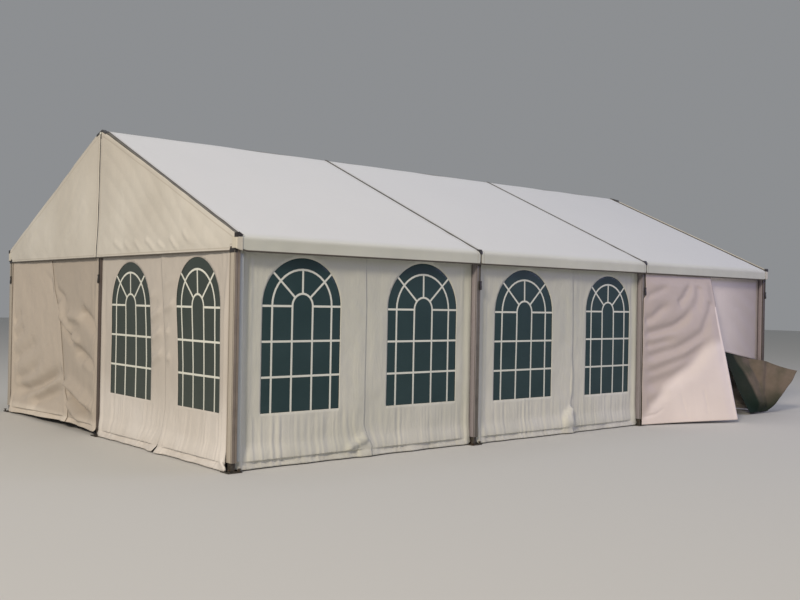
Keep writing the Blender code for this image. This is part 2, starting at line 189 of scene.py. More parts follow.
class Graph:
    """The node tree of one new material."""

    def __init__(self, name: str) -> None:
        """Start from a bare Principled shader and object coordinates.

        Args:
            name: the material's name.
        """
        self.material = bpy.data.materials.new(name)
        self.material.use_nodes = True
        self.nodes, self.links = self.material.node_tree.nodes, self.material.node_tree.links
        self.place = self.add("TexCoord", "Object")

    def add(
        self, kind: str, out: int | str, inputs: dict | None = None, **settings: object
    ) -> Socket:
        """Add a node with its settings and links.

        Args:
            kind: the node's type, without ShaderNode.
            out: the output that is wanted.
            inputs: values or sockets by input name or index.
            settings: the node's own properties.

        Returns:
            The output.
        """
        node = self.nodes.new("ShaderNode" + kind)
        for key, value in settings.items():
            setattr(node, key, value)
        self.fill(node, inputs or {})
        return node.outputs[out]

    def fill(self, node: bpy.types.Node, inputs: dict) -> None:
        """Set or link a node's inputs.

        Args:
            node: the node.
            inputs: values or sockets by input name or index.
        """
        for key, value in inputs.items():
            if isinstance(value, Socket):
                self.links.new(value, node.inputs[key])
            else:
                node.inputs[key].default_value = value

    def patches(
        self, colour: Socket | tuple, other: str, scale: float, detail: float, low: float,
        high: float, place: Socket | None = None, most: float = 1.0,
    ) -> tuple[Socket, Socket]:
        """Lay another tone over a colour in soft patches.

        Args:
            colour: the tone below.
            other: the tone laid over it, as hex.
            scale: of the noise, in cells to the metre.
            detail: of the noise.
            low: where the noise starts to show the other tone.
            high: where it shows most of it.
            place: coordinates, if not the object's.
            most: the largest share.

        Returns:
            The colour and the noise.
        """
        where = self.place if place is None else place
        patch = self.add("TexNoise", "Fac", {"Vector": where, "Scale": scale, "Detail": detail})
        share = self.add(
            "MapRange", 0, {"Value": patch, "From Min": low, "From Max": high, "To Max": most}
        )
        mixed = self.add("Mix", 2, {0: share, 6: colour, 7: linear(other)}, data_type="RGBA")
        return mixed, patch

    def woven(self, cloth: Socket, scale: float, strength: float, distance: float) -> Socket:
        """The relief of warp and weft.

        Args:
            cloth: the cloth's own coordinates, in metres.
            scale: of the wave texture.
            strength: of the bump.
            distance: depth of the relief.

        Returns:
            The normal.
        """
        warp, weft = (
            self.add("TexWave", "Fac", {"Vector": cloth, "Scale": scale}, bands_direction=way)
            for way in "XY"
        )
        threads = self.add("Math", 0, {0: warp, 1: weft}, operation="ADD")
        bump = {"Strength": strength, "Distance": distance, "Height": threads}
        return self.add("Bump", 0, bump)

    def finish(self, inputs: dict) -> Material:
        """Set the shader.

        Args:
            inputs: values or sockets by the shader's input names.

        Returns:
            The finished material.
        """
        self.fill(self.nodes["Principled BSDF"], inputs)
        return self.material


@dataclass(frozen=True)
class CoatedCloth:
    """PVC-coated polyester, calendered: an even, faintly shiny skin over a woven scrim.

    The eye sees a soft broad sheen, slow changes of tone where the cloth was folded and
    rained on, and splashed mud near the ground.
    """

    name: str
    colour: str
    shade: str
    painted_light_tone: str | None = None  # painted light and shade: the tone it passes into between the two heights below
    painted_light_from: float = 0.3
    painted_light_to: float = 1.6
    painted_light_along: str = "Z"  # the axis, or "edge" for the height in its second UV map
    piped: bool = False  # its second UV map measures from piped edges, partly painted shadow, and welded ones
    mud: str = "#6d6152"
    mud_height: float = 0.0
    mud_amount: float = 0.0
    roughness: float = 0.5
    crease: float = 0.25
    crease_scale: Point3 = (4.5, 4.5, 4.5)
    scrim_mm: float = 4.0  # the real threads lie 1 mm apart, too fine to show

    def build(self) -> Material:
        """Make the material."""
        g = Graph(self.name)
        colour, _ = g.patches(linear(self.colour), self.shade, 1.1, 3.0, 0.35, 0.65)
        drawn = g.add("Mapping", 0, {"Vector": g.place, "Scale": (9.0, 9.0, 0.7)})
        colour, _ = g.patches(colour, self.shade, 1.0, 5.0, 0.48, 0.75, drawn, 0.35)
        # painted light and shade: a tone graded with height or along the cloth
        if self.painted_light_tone:
            colour = self.painted_light_graded(g, colour)
        # dark lines along the hems, partly painted shadow
        if self.piped:
            colour = self.trimmed(g, colour)
        if self.mud_amount:
            colour = self.muddied(g, colour)
        grain = g.add("TexNoise", "Fac", {"Vector": g.place, "Scale": 14.0, "Detail": 4.0})
        low, high = self.roughness - 0.08, self.roughness + 0.12
        rough = g.add("MapRange", 0, {"Value": grain, "To Min": low, "To Max": high})
        cloth = g.add("UVMap", "UV", uv_map="cloth")
        fine = g.woven(cloth, 1000 / self.scrim_mm / 20, 0.12, 0.0004)
        stretched = g.add("Mapping", 0, {"Vector": g.place, "Scale": self.crease_scale})
        crumple = {"Scale": 1.0, "Detail": 6.0, "Roughness": 0.55, "Distortion": 0.8}
        creases = g.add("TexNoise", "Fac", {"Vector": stretched, **crumple})
        relief = {"Strength": self.crease, "Distance": 0.02, "Height": creases, "Normal": fine}
        normal = g.add("Bump", 0, relief)
        return g.finish({"Base Color": colour, "Roughness": rough, "Normal": normal})

    def painted_light_graded(self, g: Graph, colour: Socket) -> Socket:
        """Paint light and shade: pass into another tone higher up or further along.

        Args:
            g: the material's nodes.
            colour: the tone lower down.

        Returns:
            The graded colour.
        """
        place, axis = g.place, self.painted_light_along
        if axis == "edge":
            place, axis = g.add("UVMap", "UV", uv_map="edge"), "Y"
        height = g.add("SeparateXYZ", axis, {0: place})
        reach = {"From Min": self.painted_light_from, "From Max": self.painted_light_to, "To Max": 0.9}
        share = g.add("MapRange", 0, {"Value": height, **reach}, interpolation_type="SMOOTHSTEP")
        return g.add("Mix", 2, {0: share, 6: colour, 7: linear(self.painted_light_tone)}, data_type="RGBA")

    def trimmed(self, g: Graph, colour: Socket) -> Socket:
        """Draw a welded hem's line, and the dark line along an edge: piping, partly painted shadow.

        Args:
            g: the material's nodes.
            colour: the plain colour.

        Returns:
            The trimmed colour.
        """
        rim = g.add("UVMap", "UV", uv_map="edge")
        apart = g.add("SeparateXYZ", "Y", {0: rim})
        off = g.add("Math", 0, {0: apart, 1: 0.048}, operation="SUBTRACT")
        aside = g.add("Math", 0, {0: off}, operation="ABSOLUTE")
        marks = (
            (aside, (0.003, 0.009, 0.4), "#a39a8c"),
            # the dark line along piped edges: partly painted shadow under the valance's hem
            (apart.node.outputs["X"], (0.85, 1.1, 1.0), "#565049"),
        )
        for value, (low, high, most), code in marks:
            reach = {"From Min": low, "From Max": high, "To Min": most, "To Max": 0.0}
            share = g.add("MapRange", 0, {"Value": value, **reach})
            colour = g.add("Mix", 2, {0: share, 6: colour, 7: linear(code)}, data_type="RGBA")
        return colour

    def muddied(self, g: Graph, colour: Socket) -> Socket:
        """Lay splashed mud over a colour, thickest at the ground.

        Args:
            g: the material's nodes.
            colour: the clean colour.

        Returns:
            The muddied colour.
        """
        height = g.add("SeparateXYZ", "Z", {0: g.place})
        reach = {"From Max": self.mud_height, "To Min": 1.0, "To Max": 0.0}
        low = g.add("MapRange", 0, {"Value": height, **reach}, interpolation_type="SMOOTHSTEP")
        splash = {"Scale": 11.0, "Detail": 7.0, "Roughness": 0.65}
        spots = g.add("TexNoise", "Fac", {"Vector": g.place, **splash})
        patchy = g.add("MapRange", 0, {"Value": spots, "From Min": 0.36, "From Max": 0.72})
        amount = g.add("Math", 0, {0: low, 1: patchy}, operation="MULTIPLY")
        share = g.add("Math", 0, {0: amount, 1: self.mud_amount}, operation="MULTIPLY")
        return g.add("Mix", 2, {0: share, 6: colour, 7: linear(self.mud)}, data_type="RGBA")


@dataclass(frozen=True)
class ClearSheet:
    """Pressed clear PVC sheet, glossy and slightly wavy; painted shade: dark like the unlit inside.
    """

    name: str
    colour: str
    haze: str = "#354b4e"
    alpha: float = 0.93

    def build(self) -> Material:
        """Make the material."""
        g = Graph(self.name)
        haze = g.add("TexNoise", "Fac", {"Vector": g.place, "Scale": 2.2, "Detail": 4.0})
        tones = {6: linear(self.colour), 7: linear(self.haze)}
        colour = g.add("Mix", 2, {0: haze, **tones}, data_type="RGBA")
        waves = g.add("TexNoise", "Fac", {"Vector": g.place, "Scale": 5.0, "Detail": 2.0})
        normal = g.add("Bump", 0, {"Strength": 0.3, "Distance": 0.01, "Height": waves})
        gloss = {"Roughness": 0.34, "Specular IOR Level": 0.3, "Alpha": self.alpha}
        return g.finish({"Base Color": colour, "Normal": normal, **gloss})


@dataclass(frozen=True)
class ExtrudedAluminium:
    """Mill-finish extruded aluminium, weathered: dull grey with lengthwise streaks and stains.

    The faces that look along the tent are painted paler: painted light on the profile's sides.
    """

    name: str
    colour: str = "#74706a"
    stain: str = "#605c57"
    # painted light: the paler tone of the side faces
    lit_side: str = "#9a9396"
    half_bay: float = 1.6

    def build(self) -> Material:
        """Make the material."""
        g = Graph(self.name)
        drawn = g.add("Mapping", 0, {"Vector": g.place, "Scale": (90.0, 90.0, 3.0)})
        streaks = g.add("TexNoise", "Fac", {"Vector": drawn, "Scale": 1.0, "Detail": 3.0})
        colour, _ = g.patches(linear(self.colour), self.stain, 6.0, 5.0, 0.45, 0.7)
        # painted light: faces about 29 mm from a frame line, the legs' sides, take the paler tone
        along = g.add("SeparateXYZ", "X", {0: g.place})
        aside = g.add("Math", 0, {0: along, 1: self.half_bay}, operation="PINGPONG")
        lit_side_share = g.add("MapRange", 0, {"Value": aside, "From Min": 0.0280, "From Max": 0.0292})
        tones = {6: colour, 7: linear(self.lit_side)}
        colour = g.add("Mix", 2, {0: lit_side_share, **tones}, data_type="RGBA")
        rough = g.add("MapRange", 0, {"Value": streaks, "To Min": 0.38, "To Max": 0.62})
        normal = g.add("Bump", 0, {"Strength": 0.15, "Distance": 0.001, "Height": streaks})
        surface = {"Metallic": 0.25, "Roughness": rough, "Normal": normal}
        return g.finish({"Base Color": colour, **surface})


@dataclass(frozen=True)
class GalvanisedSteel:
    """Hot-dip galvanised steel, muddy: dark zinc grey, matt, with rust at the edges."""

    name: str

    def build(self) -> Material:
        """Make the material."""
        g = Graph(self.name)
        spangle = g.add("TexVoronoi", "Distance", {"Vector": g.place, "Scale": 90.0})
        tones = {6: linear("#5a554e"), 7: linear("#3f3b35")}
        zinc = g.add("Mix", 2, {0: spangle, **tones}, data_type="RGBA")
        colour, rust = g.patches(zinc, "#4a3526", 24.0, 6.0, 0.55, 0.7)
        normal = g.add("Bump", 0, {"Strength": 0.3, "Distance": 0.001, "Height": rust})
        surface = {"Metallic": 0.5, "Roughness": 0.6, "Normal": normal}
        return g.finish({"Base Color": colour, **surface})


@dataclass(frozen=True)
class MouldedNylon:
    """Moulded nylon, black and sun-greyed: an even satin skin."""

    name: str
    colour: str = "#1d1b1d"

    def build(self) -> Material:
        """Make the material."""
        g = Graph(self.name)
        dust = g.add("TexNoise", "Fac", {"Vector": g.place, "Scale": 60.0, "Detail": 4.0})
        tones = {6: linear(self.colour), 7: linear("#3a3838")}
        colour = g.add("Mix", 2, {0: dust, **tones}, data_type="RGBA")
        return g.finish({"Base Color": colour, "Roughness": 0.5})


@dataclass(frozen=True)
class Canvas:
    """Woven canvas, proofed and muddy: coarse, matt, brown with olive patches.

    It is dark green along its foot, and painted dark green as shade on the end tucked under the
    flap.
    """

    name: str

    def build(self) -> Material:
        """Make the material."""
        g = Graph(self.name)
        cloth = g.add("UVMap", "UV", uv_map="cloth")
        brown, _ = g.patches(linear("#776b60"), "#555346", 2.6, 5.0, 0.4, 0.62)
        # dark green towards the foot
        height = g.add("SeparateXYZ", "Z", {0: g.place})
        reach = {"From Max": 0.45, "To Min": 0.95, "To Max": 0.0}
        foot_share = g.add("MapRange", 0, {"Value": height, **reach}, interpolation_type="SMOOTHSTEP")
        colour = g.add("Mix", 2, {0: foot_share, 6: brown, 7: linear("#16281d")}, data_type="RGBA")
        # painted shade: the end tucked under the flap is darkened
        down = g.add("SeparateXYZ", "Y", {0: cloth})
        across = down.node.outputs["X"]
        slant = g.add("Math", 0, {0: down, 1: -0.34, 2: across}, operation="MULTIPLY_ADD")
        reach = {"From Min": 0.30, "From Max": 0.22, "To Max": 0.9}
        tucked = g.add("MapRange", 0, {"Value": slant, **reach})
        colour = g.add("Mix", 2, {0: tucked, 6: colour, 7: linear("#14261f")}, data_type="RGBA")
        fine = g.woven(cloth, 12.0, 0.2, 0.001)
        creases = g.add("TexNoise", "Fac", {"Vector": g.place, "Scale": 9.0, "Detail": 6.0})
        relief = {"Strength": 0.5, "Distance": 0.02, "Height": creases, "Normal": fine}
        matt = {"Roughness": 0.8, "Specular IOR Level": 0.15}
        return g.finish({"Base Color": colour, **matt, "Normal": g.add("Bump", 0, relief)})


@dataclass(frozen=True)
class PlainFloor:
    """A pale, matt studio floor."""

    name: str
    colour: str

    def build(self) -> Material:
        """Make the material."""
        return Graph(self.name).finish({"Base Color": linear(self.colour), "Roughness": 0.9})


class Finishes:
    """Every finish of the tent, built once."""

    def __init__(self) -> None:
        """Build the materials."""
        cloth, metal = CoatedCloth, ExtrudedAluminium
        foot = {"mud_height": 0.12, "mud_amount": 0.22, "crease": 0.5}
        upright = {"crease_scale": (7.0, 7.0, 2.2)}  # creases drawn out from top to bottom
        self.tab = cloth("coated_tab_cloth", "#d2cdc0", "#c9c4b6", crease=0.1).build()
        # painted light: the roof's slopes are paler than its valances
        self.roof = cloth(
            "coated_roof_cloth", "#cdcfc5", "#c3c5bb", "#dbdde2", 2.17, 2.27, piped=True,
            crease=0.14,
        ).build()
        # painted shade: the wall darkens higher up
        self.wall = cloth(
            "coated_wall_cloth", "#d6d5cd", "#c8c8be", "#c3c4ba",
            **(foot | {"mud_amount": 0.32}), **upright,
        ).build()
        # painted shade: the gable's top is darker
        self.gable = cloth(
            "coated_gable_cloth", "#d3d0c8", "#c7c3ba", "#c4bfb5", 2.5, 3.4, piped=True, crease=0.4
        ).build()
        # painted light: the gable wall is paler near its foot
        self.gable_wall = cloth(
            "coated_gable_wall_cloth", "#dcd8d4", "#d0cbc5", "#bbb5ad", 0.25, 0.9, **foot, **upright
        ).build()
        # painted light: the plain walls are paler at the foot
        self.plain_wall = cloth(
            "coated_plain_wall_cloth", "#dbd3c8", "#d0c7bb", "#bbb1a5", 0.12, 0.2, **foot
        ).build()
        self.plain_wall_inner = cloth(
            "coated_plain_inner_cloth", "#cbc2b8", "#c0b8ad", "#ada499", 0.12, 0.2, **foot
        ).build()
        # painted light: the flap is paler below a line across it and darker above
        self.door = cloth(
            "coated_door_cloth", "#f1e5df", "#e6dad4", "#c0b3ac", -0.03, 0.15, "edge", crease=0.3
        ).build()
        # painted shade: the raised curtain darkens towards the last leg
        self.curtain = cloth(
            "coated_curtain_cloth", "#efe5e0", "#e5dbd6", "#aaa19f", 8.2, 9.6, "X"
        ).build()
        # painted shade: a darker copy of the curtain cloth for its end over the last leg
        self.curtain_end_painted_shade = cloth("coated_curtain_end_cloth", "#91878a", "#887e82").build()
        self.bar = cloth("welded_white_strip", "#dfe2da", "#d5d8d0", crease=0.0).build()
        # the panes are painted dark: painted shade of the unlit inside seen through them
        self.pane = ClearSheet("clear_pvc_sheet", "#20383b").build()
        self.pane_gable = ClearSheet("clear_pvc_sheet_hazy", "#36413d", "#434b48").build()
        self.aluminium = metal("extruded_aluminium").build()
        # the corner legs' sides are painted palest: painted light
        self.corner = metal("corner_leg_aluminium", "#8b8178", "#7b7169", "#beb6a9").build()
        self.post = metal("gable_post_aluminium", "#5f5652", "#524a46", "#5f5652").build()
        self.rafter = metal("weathered_rafter_aluminium", "#75726b", "#605d57", "#75726b").build()
        self.track = metal("track_aluminium", "#adb3b6", "#a0a6a9", "#adb3b6").build()
        self.steel = GalvanisedSteel("galvanised_steel").build()
        self.nylon = MouldedNylon("black_nylon").build()
        self.grey_nylon = MouldedNylon("sun_greyed_nylon", "#4a4c52").build()
        self.canvas = Canvas("brown_canvas").build()
        self.floor = PlainFloor("studio_floor", "#c9c9c7").build()


@dataclass(frozen=True)
class TentSizes:
    """Sizes read from the frame, and the few that its boxes don't show."""

    frames: tuple[float, ...]
    span: float
    leg_width: float
    leg_depth: float
    leg_top: float
    front_face: float
    valance_face: float
    valance_bottom: float
    ridge: float
    wall_top: float
    gable_wall_top: float
    post_half: float
    eave: float = 2.235
    rib_half: float = 0.015
    rib_height: float = 0.008
    eave_round: float = 0.050
    gable_top_drop: float = -0.008  # the gable cloth hides the rafters' sides
    gable_seam: float = 0.016
    ground: float = 0.0105  # hems over the feet's base plates

    @classmethod
    def from_frame(cls) -> TentSizes:
        """Read the boxes of the solids."""
        rafters = [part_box(f"rafters_{i}") for i in range(1, 5)]
        (left, front, _), (right, back, ridge) = rafters[0]
        sheet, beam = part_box("roof_sheet_1"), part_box("gable_beam_near_front")
        return cls(
            frames=tuple((high[0] + low[0]) / 2 for low, high in rafters), span=front + back,
            leg_width=right - left, leg_depth=-2 * front, leg_top=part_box("leg_front_1")[1][2],
            front_face=front, valance_face=sheet[0][1], valance_bottom=sheet[0][2], ridge=ridge,
            wall_top=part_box("eave_purlin_front_1")[0][2] - 0.0003,
            gable_wall_top=beam[0][2] - 0.0003, post_half=(front + back) / 2 - beam[1][1]
        )

    @property
    def middle(self) -> float:
        """The tent's middle across its span."""
        return self.span / 2

    @property
    def length(self) -> float:
        """Between the middles of the end frames."""
        return self.frames[-1]

    @property
    def bay(self) -> float:
        """Between the middles of two frames."""
        return self.frames[1] - self.frames[0]

    @property
    def slope(self) -> float:
        """Rise of the roof for one metre across."""
        return (self.ridge - self.eave) / (self.middle - self.front_face)

    @property
    def pitch(self) -> float:
        """The roof's angle, in radians."""
        return math.atan(self.slope)

    def roof(self, y: float, below: float = 0.0) -> float:
        """Height of the rafters' ribs at y, or of a line square below them.

        Args:
            y: across the tent.
            below: distance under the ribs, square to the slope.

        Returns:
            The height.
        """
        run = min(y, self.span - y) - self.front_face
        return self.eave + run * self.slope - below / math.cos(self.pitch)


@dataclass(frozen=True)
class Surface:
    """A wall's plane: u runs along it, z is up, and out points away from the tent."""

    origin: Vector
    along: Vector
    out: Vector

    def at(self, u: float, z: float, lift: float) -> Vector:
        """A point of the wall.

        Args:
            u: along the wall.
            z: height.
            lift: distance out of the plane.

        Returns:
            The point in the tent's frame.
        """
        return self.origin + self.along * u + Vector((0, 0, z)) + self.out * lift


def mesh_object(name: str, shape: Shape, finish: Material, thickness: float = 0.0) -> Piece:
    """Turn a bmesh into a smooth object at the origin, with its material.

    Args:
        name: the piece's name.
        shape: the bmesh, which is freed.
        finish: its material.
        thickness: of an open sheet, inwards from its outer face.

    Returns:
        The object.
    """
    mesh = bpy.data.meshes.new(name)
    shape.normal_update()
    shape.to_mesh(mesh)
    shape.free()
    mesh.materials.append(finish)
    mesh.shade_smooth()
    made = bpy.data.objects.new(name, mesh)
    bpy.context.scene.collection.objects.link(made)
    if thickness:
        solid = made.modifiers.new("thickness", "SOLIDIFY")
        solid.thickness, solid.offset = thickness, -1.0
    return made


def scale_uv(shape: Shape, across: float, up: float) -> None:
    """Stretch the cloth's UV map, so that it is in metres.

    Args:
        shape: the sheet.
        across: factor of the first coordinate.
        up: factor of the second one.
    """
    layer = shape.loops.layers.uv["cloth"]
    for face in shape.faces:
        for loop in face.loops:
            loop[layer].uv = (loop[layer].uv.x * across, loop[layer].uv.y * up)


def lattice(
    us: Sequence[float], vs: Sequence[float], place: Drape, keep: Callable | None = None,
    snap: Rim | None = None, flip: bool = False, rim: Rim | None = None,
) -> Shape:
    """A sheet of quads over grid lines, with a trimmed hole or outline and a UV map in metres.

    Args:
        us: grid lines across.
        vs: grid lines up.
        place: the point for each crossing.
        keep: tells from its middle whether a quad stays.
        snap: moves the crossings of the trimmed edge onto the true outline.
        flip: turns the faces to the other side.
        rim: for the second UV map, the distance to a piped edge in widths of its line, partly
                painted shadow, and the distance to a welded edge in metres.

    Returns:
        The bmesh.
    """
    shape = bmesh.new()
    cells = [
        [(i, j), (i + 1, j), (i + 1, j + 1), (i, j + 1)]
        for i in range(len(us) - 1)
        for j in range(len(vs) - 1)
        if keep is None or keep((us[i] + us[i + 1]) / 2, (vs[j] + vs[j + 1]) / 2)
    ]
    uses: dict[tuple[int, int], int] = {}
    for ring in cells:
        for corner in ring:
            uses[corner] = uses.get(corner, 0) + 1
    flat: dict[tuple[int, int], Point2] = {}
    verts = {}
    for (i, j), count in uses.items():
        u, v = us[i], vs[j]
        if snap and count < 4 and 0 < i < len(us) - 1 and 0 < j < len(vs) - 1:
            u, v = snap(u, v)
        flat[i, j] = (u, v)
        verts[i, j] = shape.verts.new(place(u, v))
    layer = shape.loops.layers.uv.new("cloth")
    border = shape.loops.layers.uv.new("edge") if rim else None
    for ring in cells:
        if flip:
            ring.reverse()
        face = shape.faces.new([verts[corner] for corner in ring])
        for loop, corner in zip(face.loops, ring):
            loop[layer].uv = flat[corner]
            if rim:
                loop[border].uv = rim(*flat[corner])
    return shape


def hang(
    cloth: Piece, nodes: Sequence[str], flat: Point2, held: Hold, area: float | None = None,
    others: Sequence[Piece] = (),
) -> list[Piece]:
    """Let a cloth and what is welded to it move with the tent.

    Args:
        cloth: the sheet.
        nodes: the solids it replaces.
        flat: width and height of its cut; not used.
        held: how it is held; not used.
        area: of the cut, where it isn't the whole rectangle; not used.
        others: pieces welded to it.

    Returns:
        Every piece.
    """
    pieces = [cloth, *others]
    for piece in pieces:
        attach(piece, BODY)
    if nodes:
        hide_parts(*nodes)
    list(others)
    return pieces


@dataclass(frozen=True)
class Arch:
    """An arched outline: straight sides and a round or slightly drawn-up head."""

    middle: float
    half: float
    sill: float
    spring: float
    rise: float = 1.0  # height of the head against its half width

    @property
    def crown(self) -> float:
        """Height of the head's top."""
        return self.spring + self.half * self.rise

    def grown(self, margin: float) -> Arch:
        """The same outline, larger by a margin all round."""
        return Arch(self.middle, self.half + margin, self.sill - margin, self.spring, self.rise)

    def inside(self, u: float, z: float) -> bool:
        """Whether a point is inside the outline."""
        if z < self.spring:
            return abs(u - self.middle) < self.half and z > self.sill
        return math.hypot(u - self.middle, (z - self.spring) / self.rise) < self.half

    def snap(self, u: float, z: float) -> Point2:
        """Move a point near the head onto it, and any other point not at all."""
        if z <= self.spring + 1e-6:
            return u, z
        away = Vector((u - self.middle, (z - self.spring) / self.rise)).normalized() * self.half
        return self.middle + away.x, self.spring + away.y * self.rise

    def around(self, radius: float, angle: float) -> Point2:
        """A point at a radius and an angle from the head's centre."""
        return (
            self.middle + radius * math.cos(angle),
            self.spring + radius * math.sin(angle) * self.rise,
        )

    def head(self, radius: float, steps: int = 20) -> list[Point2]:
        """Points of a half circle round the head's centre, from left to right."""
        return [self.around(radius, math.pi * (1 - i / steps)) for i in range(steps + 1)]


def ribbon(
    shape: Shape, path: Sequence[Point2], width: float, lift: float, place: Spot, thickness: float
) -> None:
    """Add a thin flat strip along a path on a wall, as a closed mesh.

    Args:
        shape: where the strip is added.
        path: its middle line, (u, z).
        width: its width.
        lift: how far its underside lies from the cloth.
        place: the point for u, z and lift on the draped wall.
        thickness: of the strip.
    """
    layer = shape.loops.layers.uv.verify()
    rings = []
    for index, point in enumerate(path):
        before = Vector(path[max(index - 1, 0)])
        after = Vector(path[min(index + 1, len(path) - 1)])
        run = (after - before).normalized()
        side = Vector((-run.y, run.x)) * width / 2
        edge = (Vector(point) + side, Vector(point) - side)
        corners = ((0, 0.0), (1, 0.0), (1, thickness), (0, thickness))
        rings.append([shape.verts.new(place(*edge[k], lift + rise)) for k, rise in corners])
    for here, there in zip(rings, rings[1:]):
        for i in range(4):
            k = (i + 1) % 4
            shape.faces.new((here[i], here[k], there[k], there[i]))
    shape.faces.new(rings[0][::-1])
    shape.faces.new(rings[-1])
    for face in shape.faces:
        for loop in face.loops:
            loop[layer].uv = (loop.vert.co.x + loop.vert.co.y, loop.vert.co.z)


def stretch(start: Point2, end: Point2, step: float = 0.03) -> list[Point2]:
    """A straight path cut into short steps.

    Args:
        start: first point.
        end: last point.
        step: longest step.

    Returns:
        The points.
    """
    count = max(1, math.ceil(math.dist(start, end) / step))
    return [
        (start[0] + (end[0] - start[0]) * i / count, start[1] + (end[1] - start[1]) * i / count)
        for i in range(count + 1)
    ]


@dataclass
class Window:
    """An arched clear panel with welded white glazing bars, lying on the draped wall."""

    name: str
    arch: Arch
    place: Spot
    pane_finish: Material
    bar_finish: Material
    bar_width: float = 0.021
    bar_thickness: float = 0.0012
    panel_thickness: float = 0.0008
    weld: float = 0.018  # the panel runs this far under the cloth
    outer_bar: float = 0.76  # outer uprights, as a share of the half width
    inner_bar: float = 0.26
    behind: float = 0.0033  # the bars' undersides lie this far behind the cloth's face
    grid: float = 0.03

    def pane(self) -> Piece:
        """The clear panel, just behind the bars."""
        rim, out = self.arch.grown(self.weld), self.grid
        us = lines([rim.middle - rim.half, rim.middle + rim.half], out)
        zs = lines([rim.sill, rim.spring, rim.crown], out)
        us = [rim.middle - rim.half - out, *us, rim.middle + rim.half + out]
        zs = [rim.sill - out, *zs, rim.crown + out]
        shape = lattice(us, zs, lambda u, z: self.place(u, z, -0.0035), rim.inside, rim.snap)
        return mesh_object(f"{self.name}_panel", shape, self.pane_finish, self.panel_thickness)

    def bars(self) -> Piece:
        """The glazing bars: uprights that end in arches, rails and spokes."""
        a = self.arch
        shape = bmesh.new()
        shape.loops.layers.uv.new("cloth")
        rail_step = (a.spring - a.sill) / 3
        outer, inner = a.half * self.outer_bar, a.half * self.inner_bar
        paths: list[tuple[list[Point2], int]] = []
        for radius, level in ((outer, 1), (inner, 2)):
            left, right = a.middle - radius, a.middle + radius
            path = stretch((left, a.sill), (left, a.spring))[:-1]
            path += a.head(radius)
            path += stretch((right, a.spring), (right, a.sill))[1:]
            paths.append((path, level))
        for rail in (1, 2):
            z = a.sill + rail_step * rail
            paths.append((stretch((a.middle - a.half, z), (a.middle + a.half, z)), 0))
        for sign in (-1, 1):
            rail_ends = ((a.middle + sign * inner, a.spring), (a.middle + sign * a.half, a.spring))
            paths.append((stretch(*rail_ends), 0))
            slant = math.radians(90 - sign * 47)
            paths.append((stretch(a.around(inner, slant), a.around(a.half, slant)), 0))
        upright = math.pi / 2
        paths.append((stretch(a.around(inner, upright), a.around(outer, upright)), 0))
        for path, level in paths:
            lift = -self.behind + level * 0.0002
            ribbon(shape, path, self.bar_width, lift, self.place, self.bar_thickness)
        bmesh.ops.recalc_face_normals(shape, faces=shape.faces)
        made = mesh_object(f"{self.name}_bars", shape, self.bar_finish)
        made.data.shade_flat()
        return made


@dataclass(frozen=True)
class Crease:
    """A fold that follows a line on the cloth: a ridge, or a valley if its depth is negative."""

    path: tuple[Point2, ...]  # along the sheet and up
    depth: float
    width: float = 0.035

    def turned(self, span: float) -> Crease:
        """The same fold on the sheet at the opposite end of a span."""
        return replace(self, path=tuple((span - u, z) for u, z in self.path))

    def lift(self, u: float, z: float) -> float:
        """How far the fold stands out at a point of the sheet."""
        nearest, share, gone = 2.2 * self.width, -1.0, 0.0
        for (au, az), (bu, bz) in zip(self.path, self.path[1:]):
            run = math.hypot(bu - au, bz - az)
            t = ((u - au) * (bu - au) + (z - az) * (bz - az)) / (run * run)
            t = min(max(t, 0.0), 1.0)
            away = math.hypot(u - au - (bu - au) * t, z - az - (bz - az) * t)
            if away < nearest:
                nearest, share = away, gone + t * run
            gone += run
        if share < 0:
            return 0.0
        taper = smooth(min(2.5 * share, gone - share) / gone, -0.1, 0.35)
        return self.depth * bell(nearest, 0.0, self.width) * taper


